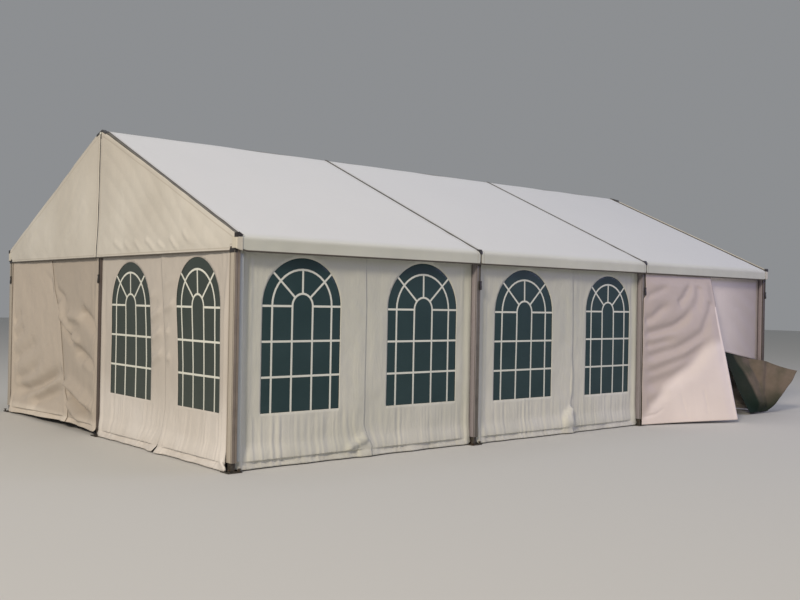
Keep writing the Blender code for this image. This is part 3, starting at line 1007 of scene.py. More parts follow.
@dataclass
class WallSheet:
    """One cut of wall cloth, hung from its rail, with an optional arched window."""

    name: str
    surface: Surface
    left: float
    right: float
    top: float
    replaces: tuple[str, ...]
    finish: Material
    pane_finish: Material
    bar_finish: Material
    flip: bool
    seed: float
    arch: Arch | None = None
    held_left: bool = True  # in a leg's groove, not free at the middle of the bay
    held_right: bool = True
    over: float = 0.0  # lies this far over its neighbour
    lap_rise: float = 0.006
    bottom: float = 0.0105
    flare: float = 0.026  # the wall stands out this far where its hem covers the mud flap
    hem_height: float = 0.086
    hem_ledge: float = 0.036  # the wall overhangs its hem by this much
    mud_flap: float = 0.034
    pleat: float = 0.011
    gathers: float = 1.0  # share of the pleats that reach the foot
    wrinkle: float = 0.0035
    billow: float = 0.011  # depth of the broad waves
    dent: float = 0.009
    roll: float = 0.034  # the cloth rolls out beside a groove, and a little once more
    second_roll: float = 0.006
    gather: float = 0.012  # depth of the bunch near a free edge's foot
    creases: tuple[Crease, ...] = ()
    foot_rise: Point2 = (0.0, 0.0)  # the hem hangs this much higher, at its left and right end
    wrap: Point2 = (0.006, 0.006)  # the hem runs on this far past a held edge, over the foot
    parting: float = 0.0  # the free corner stands this far off its neighbour's
    edge: tuple[Point2, ...] = ((0.0, 0.0), (2.2, 0.0))  # free edge: height and shift
    reach: float = 0.5  # the cloth is pulled aside this far from its free edge
    lying: float = 0.0  # depth of the fold that lies down towards the free corner
    curl: float = 0.0  # how far the free corner curls out
    step: float = 0.0145
    thickness: float = 0.0015

    def reach_to(self, u: float, held: bool) -> float:
        """Distance to the nearest edge that a groove holds, or to the nearest free one."""
        left = u - self.left if self.held_left is held else 9.0
        right = self.right - u if self.held_right is held else 9.0
        return min(left, right)

    def glazed(self, u: float, z: float) -> float:
        """1 on the window's panel, 0 away from it."""
        if not self.arch:
            return 0.0
        a = self.arch
        aside = abs(u - a.middle) - a.half
        if z > a.spring:
            aside = math.hypot(u - a.middle, (z - a.spring) / a.rise) - a.half
        under = a.sill - z
        return smooth(0.08 - aside, 0.0, 0.08) * smooth(0.04 - under, 0.0, 0.05)

    def shift(self, u: float, z: float) -> float:
        """Sideways move of the free edge and the cloth beside it."""
        pulled = max(1 - self.reach_to(u, False) / self.reach, 0.0)
        along = read_off(self.edge, z) + 0.006 * ripple(0.0, z * 2.4, self.seed + 13)
        along += self.parting * max(1 - z / 0.27, 0.0) * (1 if self.held_right else -1)
        foot, share = smooth(0.12 - z, 0.0, 0.09), max(pulled, 1e-6)
        if self.held_left:
            along -= self.wrap[0] * foot * (1 - smooth(u - self.left, 0.0, 0.12)) / share
        if self.held_right:
            along += self.wrap[1] * foot * (1 - smooth(self.right - u, 0.0, 0.12)) / share
        return along * pulled

    def lift(self, u: float, z: float) -> float:
        """How far the hanging cloth stands out of its plane.

        Args:
            u: along the wall.
            z: height in the cut.

        Returns:
            The distance, outwards.
        """
        held, loose, seed = self.reach_to(u, True), self.reach_to(u, False), self.seed
        free, drop = smooth(held, 0.0, 0.14), smooth(self.top - z, 0.03, 0.7)
        flat = 1 - 0.85 * self.glazed(u, z)
        billow = self.billow * ripple(u * 1.2, z * 0.7, seed) * drop * free
        dents = ripple(u * 3.4, z * 2.6, seed + 1) + 0.4 * ripple(u * 9.0, z * 6.5, seed + 8)
        dents *= smooth(self.top - z, 0.02, 0.2)
        billow += self.dent * dents * free * flat
        sill = self.arch.sill if self.arch else 0.55
        low = smooth(sill + 0.02 - z, 0.0, 0.12)
        beneath = smooth(z, sill + 0.55, self.top - 0.35) * smooth(0.34 - held, 0.0, 0.26)
        rows = ripple(u * 25.0, z * 0.5, seed + 2) + 0.6 * ripple(u * 43.0, z * 0.8, seed + 3)
        pleats = self.pleat * rows * (0.8 + 0.5 * ripple(u * 2.7, 0.3, seed + 4))
        pleats *= low * self.gathers + (0.12 + 0.5 * beneath) * (1 - low)
        pleats *= flat * smooth(held, 0.0, 0.06)
        beside = self.roll * bell(held, 0.048, 0.036)
        beside += self.second_roll * bell(held, 0.165, 0.02)
        beside *= drop * flat * (1.0 if self.held_left else 0.45)
        slant = z / 0.17 + u / 0.21 + 0.5 * ripple(u * 2.0, z * 2.0, seed + 6)
        pulls = self.wrinkle * math.sin(2 * math.pi * slant) * bell(loose, 0.0, 0.2)
        pulls *= drop * flat * (1 - low * 0.5)
        drapes = 0.0
        if self.creases:
            moved = u + self.shift(u, z)
            folded = sum(crease.lift(moved, z) for crease in self.creases)
            drapes = folded * smooth(held, 0.0, 0.06) * drop * (flat - 0.15) / 0.85
        turn = smooth(self.hem_height - z, 0.0, self.hem_height)
        over = self.over * (1 + 1.2 * smooth(0.3 - z, 0.0, 0.3))
        soft = billow + pleats + beside + pulls + drapes
        if self.over:
            soft *= smooth(loose, -0.03, 0.12)
            over += self.lap_rise * smooth(0.16 - loose, 0.0, 0.12)
        else:
            soft *= smooth(loose, 0.05, 0.16)
        return over + soft * (1 - 0.6 * turn) + self.skirt(u, z, turn) + self.bunch(u, z)

    def skirt(self, u: float, z: float, turn: float) -> float:
        """How far the foot stands out: the hem over its ledge, and the mud flap below.

        Args:
            u: along the wall.
            z: height in the cut.
            turn: share of the hem's turn to the ground.

        Returns:
            The distance, outwards.
        """
        held, loose = self.reach_to(u, True), self.reach_to(u, False)
        skirt = self.flare * smooth(0.26 - z, 0.0, 0.16)
        ledge = smooth(self.hem_height - z, 0.0, 0.013) * smooth(min(held, loose), 0.07, 0.22)
        skirt -= self.hem_ledge * ledge * (0.8 + 0.5 * ripple(u * 4.0, 0.0, self.seed + 7))
        skirt += self.mud_flap * (1 + 0.3 * ripple(u * 1.9, 0.0, self.seed + 5)) * turn
        return skirt * (0.45 + 0.55 * smooth(held, 0.0, 0.22))

    def bunch(self, u: float, z: float) -> float:
        """How far the free edge stands out: gathered, folded over and curled."""
        loose = self.reach_to(u, False)
        spread = ((loose - 0.055) / 0.045) ** 2 + ((z - 0.2) / 0.08) ** 2
        bunch = self.gather * math.exp(-spread)
        fold = self.lying * bell(z, 0.215 - 0.40 * loose, 0.022)
        bunch += fold * smooth(0.33 - loose, 0.0, 0.1) * smooth(loose, 0.0, 0.05)
        corner = smooth(0.20 - loose, 0.0, 0.07) * smooth(0.35 - 0.65 * loose - z, 0.0, 0.035)
        curled = smooth(0.022 - loose, 0.0, 0.02) * smooth(z, 0.4, 0.55)
        curled *= smooth(1.0 - z, 0.0, 0.3)
        return bunch + self.curl * (corner * smooth(z, 0.02, 0.16) + 0.4 * curled)

    def at(self, u: float, z: float, lift: float) -> Vector:
        """A point on or off the draped cloth.

        Args:
            u: along the wall.
            z: height in the cut.
            lift: distance off the cloth's face.

        Returns:
            The point in the tent's frame.
        """
        end = min(self.reach_to(u, True), self.reach_to(u, False) + 0.04)
        rounding = 0.022 * (1 - smooth(end, 0.0, 0.06)) ** 2
        raised = rounding * smooth(self.hem_height - z, 0.0, self.hem_height)
        share = (u - self.left) / (self.right - self.left)
        shorter = self.foot_rise[0] + (self.foot_rise[1] - self.foot_rise[0]) * share
        raised += shorter * max(1 - z / 0.6, 0.0)
        return self.surface.at(u + self.shift(u, z), z + raised, self.lift(u, z) + lift)

    def build(self) -> list[Piece]:
        """Make the cloth and its window."""
        hem, a = self.hem_height, self.arch
        marks_u, marks_z = [self.left, self.right], [hem + 0.02, self.top]
        keep = snap = area = None
        width, height = self.right - self.left, self.top - self.bottom
        if a:
            marks_u[1:1] = [a.middle - a.half, a.middle + a.half]
            marks_z[1:1] = [a.sill, a.spring, a.crown]
            keep, snap = lambda u, z: not a.inside(u, z), a.snap
            area = width * height - 2 * a.half * (a.spring - a.sill)
            area -= math.pi * a.half * (a.crown - a.spring) / 2
        us = lines(marks_u, self.step)
        zs = lines([self.bottom, hem - 0.012], 0.015) + lines([hem - 0.007, hem + 0.002], 0.003)
        zs += [hem + 0.009] + lines(marks_z, self.step * (1.8 if self.creases else 2.4))
        shape = lattice(us, zs, lambda u, z: self.at(u, z, 0.0), keep, snap, self.flip)
        cloth = mesh_object(self.name, shape, self.finish, self.thickness)
        welded = []
        if a:
            window = Window(self.name, a, self.at, self.pane_finish, self.bar_finish)
            welded = [window.pane(), window.bars()]
            if self.flip:
                welded[0].data.flip_normals()
        return hang(cloth, self.replaces, (width, height), Hold.HUNG, area, welded)


@dataclass
class RoofSheet:
    """One bay's roof cloth: over the ridge, round both eaves and down in two valances."""

    index: int
    sizes: TentSizes
    finish: Material
    step: float = 0.05
    sag: float = 0.010
    valance_wave: float = 0.004
    wave_length: float = 0.47
    slack: float = 0.003
    pull: float = 0.0022
    thickness: float = 0.0015
    clear: float = 0.0006  # between the cloth's edge and the rafter
    dark_line: float = 0.017  # height of the dark line along the valance's hem: piping, partly painted shadow
    end_cord: float = 0.030  # width of the dark edge along an end rafter
    mid_cord: float = 0.007
    corner_rise: float = 0.025  # the hem rises this far at the tent's corners

    def section(self) -> list[tuple[float, float, float, float]]:
        """Points of the front half of the cross section: y, z and the outward normal."""
        s = self.sizes
        centre_y = s.valance_face + s.eave_round
        cover = s.rib_height - 0.0033
        centre_z = s.roof(centre_y, cover) - s.eave_round / math.cos(s.pitch)
        drop = lines([s.valance_bottom, centre_z], 0.022)
        points = [(s.valance_face, z, -1.0, 0.0) for z in drop]
        turns = 8
        for i in range(1, turns + 1):
            angle = math.pi - (math.pi / 2 - s.pitch) * i / turns
            ny, nz = math.cos(angle), math.sin(angle)
            points.append((centre_y + s.eave_round * ny, centre_z + s.eave_round * nz, ny, nz))
        up = (-math.sin(s.pitch), math.cos(s.pitch))
        climb = lines([points[-1][0], s.middle], self.step)[1:]
        return points + [(y, s.roof(y, cover), *up) for y in climb]

    def build(self) -> list[Piece]:
        """Make the cloth."""
        s, half, clear = self.sizes, self.section(), self.clear
        crest = (half[-1][0], half[-1][1] - 0.004, 0.0, 1.0)
        whole = half[:-1] + [crest] + [(s.span - y, z, -ny, nz) for y, z, ny, nz in half[-2::-1]]
        girth = [0.0]
        for a, b in zip(whole, whole[1:]):
            girth.append(girth[-1] + math.hypot(b[0] - a[0], b[1] - a[1]))
        total, by_girth = girth[-1], dict(zip(girth, whole))
        left_frame, right_frame = s.frames[self.index], s.frames[self.index + 1]
        first, last = self.index == 0, self.index == len(s.frames) - 2
        face = s.leg_width / 2 + 0.0033
        left_edge, right_edge = left_frame + s.rib_half + clear, right_frame - s.rib_half - clear
        left_low = left_frame - face if first else left_frame + clear
        right_low = right_frame + face if last else right_frame - clear

        def place(share: float, along: float) -> Vector:
            y, z, ny, nz = by_girth[along]
            over, low = smooth(nz, 0.35, 0.8), 1 - smooth(nz, -0.1, 0.5)
            left = left_low + (left_edge - left_low) * over
            right = right_low + (right_edge - right_low) * over
            x = left + (right - left) * share
            across = min(along, total - along)
            belly = math.sin(math.pi * share) ** 0.8
            sag = self.sag * belly * smooth(across, 0.25, 1.2)
            sag *= smooth(total / 2 - across, 0.0, 0.8)
            slack = self.slack * ripple(x * 1.7, across * 1.1, self.index + 20) * belly * over
            corner = (1 - abs(2 * share - 1)) ** 0.5
            pull = self.pull * math.sin(2 * math.pi * (abs(2 * share - 1) * 4 + across * 2.5))
            pull *= (1 - corner) * smooth(across, 0.15, 0.4) * smooth(1.5 - across, 0.0, 1.0)
            wave = self.valance_wave * math.sin(2 * math.pi * (x / self.wave_length)) * low
            wave += self.valance_wave * ripple(x * 2.6, across * 3, self.index + 30) * low
            wave *= smooth(0.2 - across, 0.0, 0.2)
            inward = sag - slack - pull + abs(wave)
            apart = min(x - left_low if first else 1.0, right_low - x if last else 1.0)
            rise = self.corner_rise * smooth(0.13 - apart, 0.0, 0.13)
            z += rise * smooth(0.11 - across, 0.0, 0.11)
            return Vector((x, y - ny * inward, z - nz * inward))

        def rim(share: float, along: float) -> Point2:
            side = min(share, 1 - share) * s.bay
            ended = (first and share < 0.5) or (last and share > 0.5)
            dark_line = side / (self.end_cord if ended else self.mid_cord)
            return min(min(along, total - along) / self.dark_line, dark_line), side

        close, step = 0.14 / s.bay, self.step / s.bay
        shares = lines([0.0, close], step * 0.4) + lines([close, 1 - close], step)[1:]
        shares += lines([1 - close, 1.0], step * 0.4)[1:]
        shape = lattice(shares, girth, place, rim=rim)
        scale_uv(shape, s.bay, 1.0)
        tag = self.index + 1
        cloth = mesh_object(f"roof_cloth_{tag}", shape, self.finish, self.thickness)
        return hang(cloth, [f"roof_sheet_{tag}"], (s.bay, total), Hold.STRETCHED)


@dataclass
class GableSheet:
    """One triangular gable cloth, from its low edge up to the rafters."""

    end: End
    side: Side
    sizes: TentSizes
    finish: Material
    step: float = 0.024
    belly: float = 0.016
    fold: float = 0.005
    pull: float = 0.010
    swell: float = 0.016
    dent: float = 0.005
    tab_edge: float = 0.048  # the corner tab covers the cloth up to here
    off: float = 0.0025  # the cloth lies this far off the legs' sides
    thickness: float = 0.0015
    # height of the dark line along the hem: piping, partly painted shadow
    dark_line: float = 0.017
    corner_rise: float = 0.034
    seam_low: float = 0.075  # the seam is pulled this far aside at its foot
    seam_high: float = 0.040

    def build(self) -> list[Piece]:
        """Make the cloth."""
        s = self.sizes
        near, front = self.end is End.NEAR, self.side is Side.FRONT
        edge = s.valance_face + 0.0033
        seam = s.middle - s.gable_seam / 2
        out = -1.0 if near else 1.0
        x_face = (0.0 if near else s.length) + out * (s.leg_width / 2 + self.off)
        round_y = s.valance_face + s.eave_round
        seed = 40 + 2 * near + front
        ys = lines([edge, round_y, 0.034, self.tab_edge, seam], self.step)
        shares = lines([0.0, 1.0], self.step / 1.2)

        def top(y: float) -> float:
            drop = s.gable_top_drop * smooth(seam - y, 0.0, 0.3)
            if y < round_y:
                low, high = s.roof(round_y, s.eave_round) - 0.035, s.roof(round_y, drop)
                return low + (high - low) * (y - edge) / (round_y - edge)
            return s.roof(y, drop)

        def bottom(y: float) -> float:
            return s.valance_bottom + self.corner_rise * smooth(self.tab_edge - y, 0.0, 0.014)

        def rim(y: float, share: float) -> Point2:
            height = (top(y) - bottom(y)) * share
            fall = (top(y) - bottom(y) - height) * math.cos(s.pitch)
            return height / self.dark_line, min(fall, max(seam - y, 0.0) + 0.01, height + 0.012)

        def place(y: float, share: float) -> Vector:
            low = bottom(y)
            z = low + (top(y) - low) * share
            room = (seam - y) / (seam - edge)
            inner = smooth(share, 0.0, 0.35) * smooth(1 - share, 0.0, 0.3)
            inner *= smooth(seam - y, 0.0, 0.4)
            belly = self.belly * inner * smooth(y, 0.1, 0.9)
            slant = (z - low) * 1.5 - y * 1.1
            folds = self.fold * math.sin(2 * math.pi * (slant * 1.6 + 0.4 * ripple(y, z, seed)))
            folds *= smooth(share, 0.02, 0.25) * smooth(seam - y, 0.0, 0.3)
            phase = y * 2.9 + (z - low) * 2.6 + 0.5 * ripple(y * 1.3, 0.0, seed + 1)
            pulls = self.pull * abs(math.sin(math.pi * phase))
            pulls *= 0.7 + 0.6 * ripple(y * 2.1, 0.5, seed + 2)
            pulls *= smooth(0.34 - (z - low), 0.0, 0.28) * smooth(y, 0.0, 0.4)
            pulls *= smooth(seam - y, 0.0, 0.4)
            swell = self.swell * smooth(0.5 - (z - low), 0.0, 0.5) * smooth(y, 0.1, 1.0)
            dents = self.dent * ripple(y * 3.0, z * 3.0, seed + 3) * smooth(y, 0.0, 0.3)
            dents *= smooth(top(y) - z, 0.0, 0.2)
            lift = belly + abs(folds) + pulls * (0.4 + 0.6 * room) + swell + abs(dents)
            lift += sum(crease.lift(y, z) for crease in TRIANGLE_CREASES) if front else 0.0
            aside = self.seam_high + (self.seam_low - self.seam_high) * (1 - share)
            aside *= max(1 - (seam - y) / 1.3, 0.0) if near else 0.0
            return Vector((x_face + out * lift, (y if front else s.span - y) + aside, z))

        shape = lattice(ys, shares, place, flip=near == front, rim=rim)
        layer = shape.loops.layers.uv["cloth"]
        for face in shape.faces:
            for loop in face.loops:
                loop[layer].uv.y = loop.vert.co.z
        tag = f"{self.end.value}_{self.side.value}"
        cloth = mesh_object(f"gable_cloth_{tag}", shape, self.finish, self.thickness)
        rise, foot, shoulder = (top(y) - s.valance_bottom for y in (seam, edge, round_y))
        area = (rise + shoulder) / 2 * (seam - round_y) + (foot + shoulder) / 2 * (round_y - edge)
        return hang(cloth, [f"gable_sheet_{tag}"], (seam - edge, rise), Hold.STRETCHED, area)


def creases(*rows: Sequence) -> tuple[Crease, ...]:
    """Folds from rows of a depth and a width in mm, then points along and up in cm.

    Args:
        rows: one for each fold.

    Returns:
        The folds.
    """
    return tuple(
        Crease(tuple((u / 100, z / 100) for u, z in path), depth / 1000, width / 1000)
        for depth, width, *path in rows
    )


def edge_line(*rows: Point2) -> tuple[Point2, ...]:
    """A free edge or another line of the cloth, from pairs in mm.

    Args:
        rows: pairs of positions and values.

    Returns:
        The pairs in metres.
    """
    return tuple((place / 1000, value / 1000) for place, value in rows)


# Free edges: height, and how far the edge has moved along the wall.
LONG_EDGES = (
    edge_line((0, 50), (106, 75), (340, -20), (1560, -10), (2080, -23)),
    edge_line((0, 0), (600, 7), (1200, 30), (2040, 0)), edge_line((0, -60), (1000, 30), (2150, 0))
)
LONG_MIDDLES = (1.6, 4.935, 8.0)
GABLE_MIDDLE = 1.432
LONG_ARCHES = (
    (Arch(0.806, 0.478, 0.525, 1.566), Arch(2.424, 0.508, 0.513, 1.545)),
    (Arch(4.070, 0.512, 0.485, 1.528), Arch(5.725, 0.468, 0.468, 1.548)),
)
GABLE_EDGE = edge_line(
    (0, 30), (130, -55), (280, -120), (470, -170), (960, -165), (1320, -125), (1720, -60),
    (2050, -20),
)
GABLE_ARCHES = (Arch(0.702, 0.464, 0.535, 1.540, 1.07), Arch(2.205, 0.450, 0.533, 1.536, 1.06))
GABLE_CREASES = (
    creases(
        (48, 40, (141, 174), (123, 180), (105, 186)), (40, 40, (136, 185), (114, 193), (101, 198)),
        (40, 43, (138, 149), (123, 154), (110, 160)), (32, 45, (134, 122), (120, 130)),
        (32, 45, (132, 96), (119, 104))
    ),
    creases(
        (34, 45, (184, 156), (151, 170)), (34, 45, (168, 138), (140, 151)),
        (32, 49, (164, 117), (136, 130)), (32, 49, (163, 93), (133, 108))
    )
)
TRIANGLE_CREASES = creases(
    (15, 26, (250, 226), (225, 214)), (13, 24, (224, 224), (204, 213)),
    (17, 24, (199, 225), (182, 213)), (19, 26, (174, 226), (151, 212)),
    (13, 24, (146, 222), (130, 213)), (17, 26, (118, 226), (102, 212)),
    (11, 26, (90, 230), (76, 218))
)
PLAIN_EDGE = edge_line(
    (120, -355), (420, -195), (570, -155), (890, -95), (1380, 15), (1700, 195), (1950, 265),
    (2050, 295),
)
PLAIN_MIDDLE = 4.170
PLAIN_CREASES = (
    creases(
        (-53, 45, (434, 185), (429, 170), (407, 161), (395, 154)), (45, 45, (417, 153), (398, 138)),
        (58, 54, (411, 139), (394, 127), (375, 115)), (-53, 54, (408, 128), (389, 116), (368, 103)),
        (49, 58, (388, 138), (362, 136), (345, 133)), (-74, 72, (352, 146), (325, 132), (298, 115)),
        (45, 49, (375, 112), (350, 106)), (-74, 75, (365, 98), (330, 84), (298, 66)),
        (53, 54, (345, 86), (326, 78), (302, 68)),
        (96, 72, (395, 55), (366, 49), (343, 41), (320, 33), (298, 24)),
        (-82, 60, (395, 48), (373, 38), (350, 29), (320, 18)),
        (66, 67, (385, 30), (373, 23), (350, 14), (330, 8))
    ),
    creases(
        (-45, 75, (570, 47), (530, 56), (500, 67), (480, 76)),
        (-96, 83, (575, 33), (524, 34), (483, 43), (449, 55), (420, 65), (400, 70)),
        (45, 67, (535, 25), (483, 36), (440, 49), (405, 60)),
        (-58, 83, (505, 17), (465, 27), (426, 38), (396, 47)),
        (-30, 49, (580, 192), (562, 200), (546, 206)), (-38, 83, (575, 74), (523, 91), (488, 103)),
        (-30, 75, (576, 103), (536, 119)), (-26, 75, (577, 125), (547, 140)),
        (45, 47, (484, 205), (462, 197), (442, 190)), (-41, 54, (473, 198), (446, 182), (431, 168))
    )
)
FLAP_CREASES = creases(
    (-16, 54, (5, 175), (19, 181), (38, 186), (54, 191)),
    (-28, 65, (3, 142), (21, 148), (37, 158), (58, 165)),
    (-25, 69, (76, 165), (90, 176), (99, 185), (112, 198)),
    (-41, 65, (3, 125), (27, 128), (64, 135), (77, 140), (90, 146), (99, 153), (112, 164)),
    (-28, 57, (5, 109), (22, 110), (43, 114), (70, 117)),
    (-41, 76, (5, 92), (27, 96), (46, 100), (70, 104), (91, 111), (125, 125), (154, 142)),
    (-35, 65, (5, 73), (27, 75), (61, 84), (93, 93), (109, 101), (130, 112)),
    (-53, 109, (4, 55), (27, 57), (64, 66), (78, 72), (94, 79), (110, 90), (150, 124)),
    (-19, 76, (10, 29), (27, 33), (38, 39), (54, 46)),
    (-10, 16, (2, 11), (14, 13), (27, 15), (37, 20), (43, 24)),
    (-23, 76, (154, 172), (147, 155), (131, 137), (120, 127)),
    (-19, 90, (128, 195), (124, 175), (112, 152)), (-6, 11, (71, 46), (75, 29), (80, 15), (85, 2)),
    (-6, 11, (113, 48), (115, 31), (117, 6))
)
# The flap is painted bright below this line, as painted light: position along it, and height.
FLAP_PAINTED_BRIGHT = edge_line(
    (0, 40), (160, 180), (430, 450), (700, 610), (990, 770), (1280, 1000), (1410, 1060),
    (1600, 1080),
)


@dataclass
class Walls:
    """All the closed walls: two cuts of cloth to a bay or to half a gable."""

    sizes: TentSizes
    finishes: Finishes
    lap: float = 0.035  # each cut runs this far past the middle of its bay
    gap: float = 0.0005  # between a cut and the leg or post beside it
    groove: float = 0.015  # a long wall's plane lies this far inside the legs' faces
    gable_groove: float = 0.018
    doorway: int = 2  # the front bay with no closed wall

    def surface(self, where: Side | End) -> Surface:
        """The plane of one wall.

        Args:
            where: the side or end of the tent.

        Returns:
            The plane.
        """
        s = self.sizes
        inset, gable = s.leg_depth / 2 - self.groove, s.leg_width / 2 - self.gable_groove
        origin, along, out = {
            Side.FRONT: ((0, inset, 0), (1, 0, 0), (0, -1, 0)),
            Side.BACK: ((0, s.span - inset, 0), (1, 0, 0), (0, 1, 0)),
            End.NEAR: ((-gable, 0, 0), (0, 1, 0), (-1, 0, 0)),
            End.FAR: ((s.length + gable, 0, 0), (0, 1, 0), (1, 0, 0)),
        }[where]
        return Surface(Vector(origin), Vector(along), Vector(out))

    def build(self) -> list[Piece]:
        """Make every wall."""
        bays = [(side, bay) for bay in range(3) for side in Side]
        bays.remove((Side.FRONT, self.doorway))
        pieces = [piece for side, bay in bays for piece in self.long_wall(side, bay)]
        ends = [(end, side) for end in End for side in Side]
        return pieces + [piece for end, side in ends for piece in self.gable_wall(end, side)]

    def cuts(
        self, tag: str, where: Side | End, edges: Point3, windowed: bool,
        halves: Callable[[int], dict], **shared: object,
    ) -> list[Piece]:
        """Make the two cuts of one wall.

        Args:
            tag: the end of their names.
            where: the side or end of the tent.
            edges: where the wall starts, parts and ends.
            windowed: whether each cut has an arched window.
            halves: the settings of cut 0 or 1.
            shared: the settings of both.

        Returns:
            The pieces made.
        """
        start, middle, end = edges
        nodes = (f"wall_{tag}",) + ((f"panes_wall_{tag}",) if windowed else ())
        spans = ((start, middle + self.lap), (middle - self.lap, end))
        pieces = []
        for half, (left, right) in enumerate(spans):
            pieces += WallSheet(
                name=f"wall_cloth_{tag}{'ab'[half]}", surface=self.surface(where), left=left,
                right=right, replaces=nodes, bar_finish=self.finishes.bar, held_left=half == 0,
                held_right=half == 1, **shared, **halves(half),
            ).build()
        return pieces

    def long_wall(self, side: Side, bay: int) -> list[Piece]:
        """The two cuts of one bay's wall.

        Args:
            side: front or back.
            bay: counted from the near gable.

        Returns:
            The pieces made.
        """
        s, f, back = self.sizes, self.finishes, side is Side.BACK
        start = s.frames[bay] + s.leg_width / 2 + self.gap
        end = s.frames[bay + 1] - s.leg_width / 2 - self.gap
        windowed = bay < len(LONG_ARCHES)

        def half_settings(half: int) -> dict:
            first = half == 0
            return {
                "seed": bay * 2 + half + 10 * back,
                "finish": f.wall,
                "arch": LONG_ARCHES[bay][half] if windowed else None,
                "over": (0.003, 0.008, 0.008)[bay] * first,
                "lying": 0.040 * (bay == 0 and first),
                "curl": 0.046 * (bay == 1 and first),
            }

        return self.cuts(
            f"{side.value}_{bay + 1}", side, (start, LONG_MIDDLES[bay], end), windowed,
            half_settings, top=s.wall_top, pane_finish=f.pane, flip=back, edge=LONG_EDGES[bay],
            lap_rise=(0.001, 0.006, 0.006)[bay],
        )

    def gable_wall(self, end: End, side: Side) -> list[Piece]:
        """The two cuts of half a gable's wall.

        Args:
            end: near or far.
            side: the half nearer to the front or to the back.

        Returns:
            The pieces made.
        """
        s, f, back = self.sizes, self.finishes, side is Side.BACK
        windowed = (end is End.NEAR) != back
        turned = windowed == back
        start, stop = s.leg_depth / 2 + self.gap, s.middle - s.post_half - self.gap
        middle = GABLE_MIDDLE if windowed else s.span - PLAIN_MIDDLE
        arches: Sequence[Arch] = GABLE_ARCHES
        if back:
            start, stop, middle = s.span - stop, s.span - start, s.span - middle
            arches = [replace(a, middle=s.span - a.middle) for a in reversed(arches)]
        folds = GABLE_CREASES if windowed else PLAIN_CREASES
        if turned:
            folds = tuple(tuple(c.turned(s.span) for c in row) for row in reversed(folds))
        edge = tuple((z, -x if turned else x) for z, x in (GABLE_EDGE if windowed else PLAIN_EDGE))

        def half_settings(half: int) -> dict:
            by_post = (half == 0) == back
            plain = f.plain_wall_inner if by_post else f.plain_wall
            return {
                "seed": 50 + half + 4 * back + 8 * (end is End.FAR),
                "finish": f.gable_wall if windowed else plain,
                "arch": arches[half] if windowed else None,
                "over": 0.005 * (not by_post),
                "creases": folds[half],
                "foot_rise": self.foot_rises(windowed or end is End.FAR, back, half),
            }

        looks = {"wrap": (0.0, 0.0), "parting": 0.0, "gathers": 0.35, "reach": 1.25}
        if windowed:
            wrap = (0.10 * (not back), 0.05)
            looks = {"wrap": wrap, "parting": 0.075, "gathers": 1.0, "reach": 1.4}
        return self.cuts(
            f"{end.value}_{side.value}", end, (start, middle, stop), windowed, half_settings,
            top=s.gable_wall_top, pane_finish=f.pane_gable, flip=end is End.NEAR, edge=edge,
            lap_rise=0.003, wrinkle=0.002, **looks,
        )

    def foot_rises(self, level: bool, back: bool, half: int) -> Point2:
        """How much higher a gable wall's hem hangs at the left and right end of a cut.

        Args:
            level: the hem is level, just over the ground.
            back: it is the gable's back half.
            half: 0 for the cut with the smaller y.

        Returns:
            The two rises.
        """
        if level:
            return 0.0, 0.0
        rises = ((0.035, 0.075), (0.075, 0.0))
        return rises[half] if back else rises[1 - half][::-1]


Test = Callable[[Vector, Vector], bool]


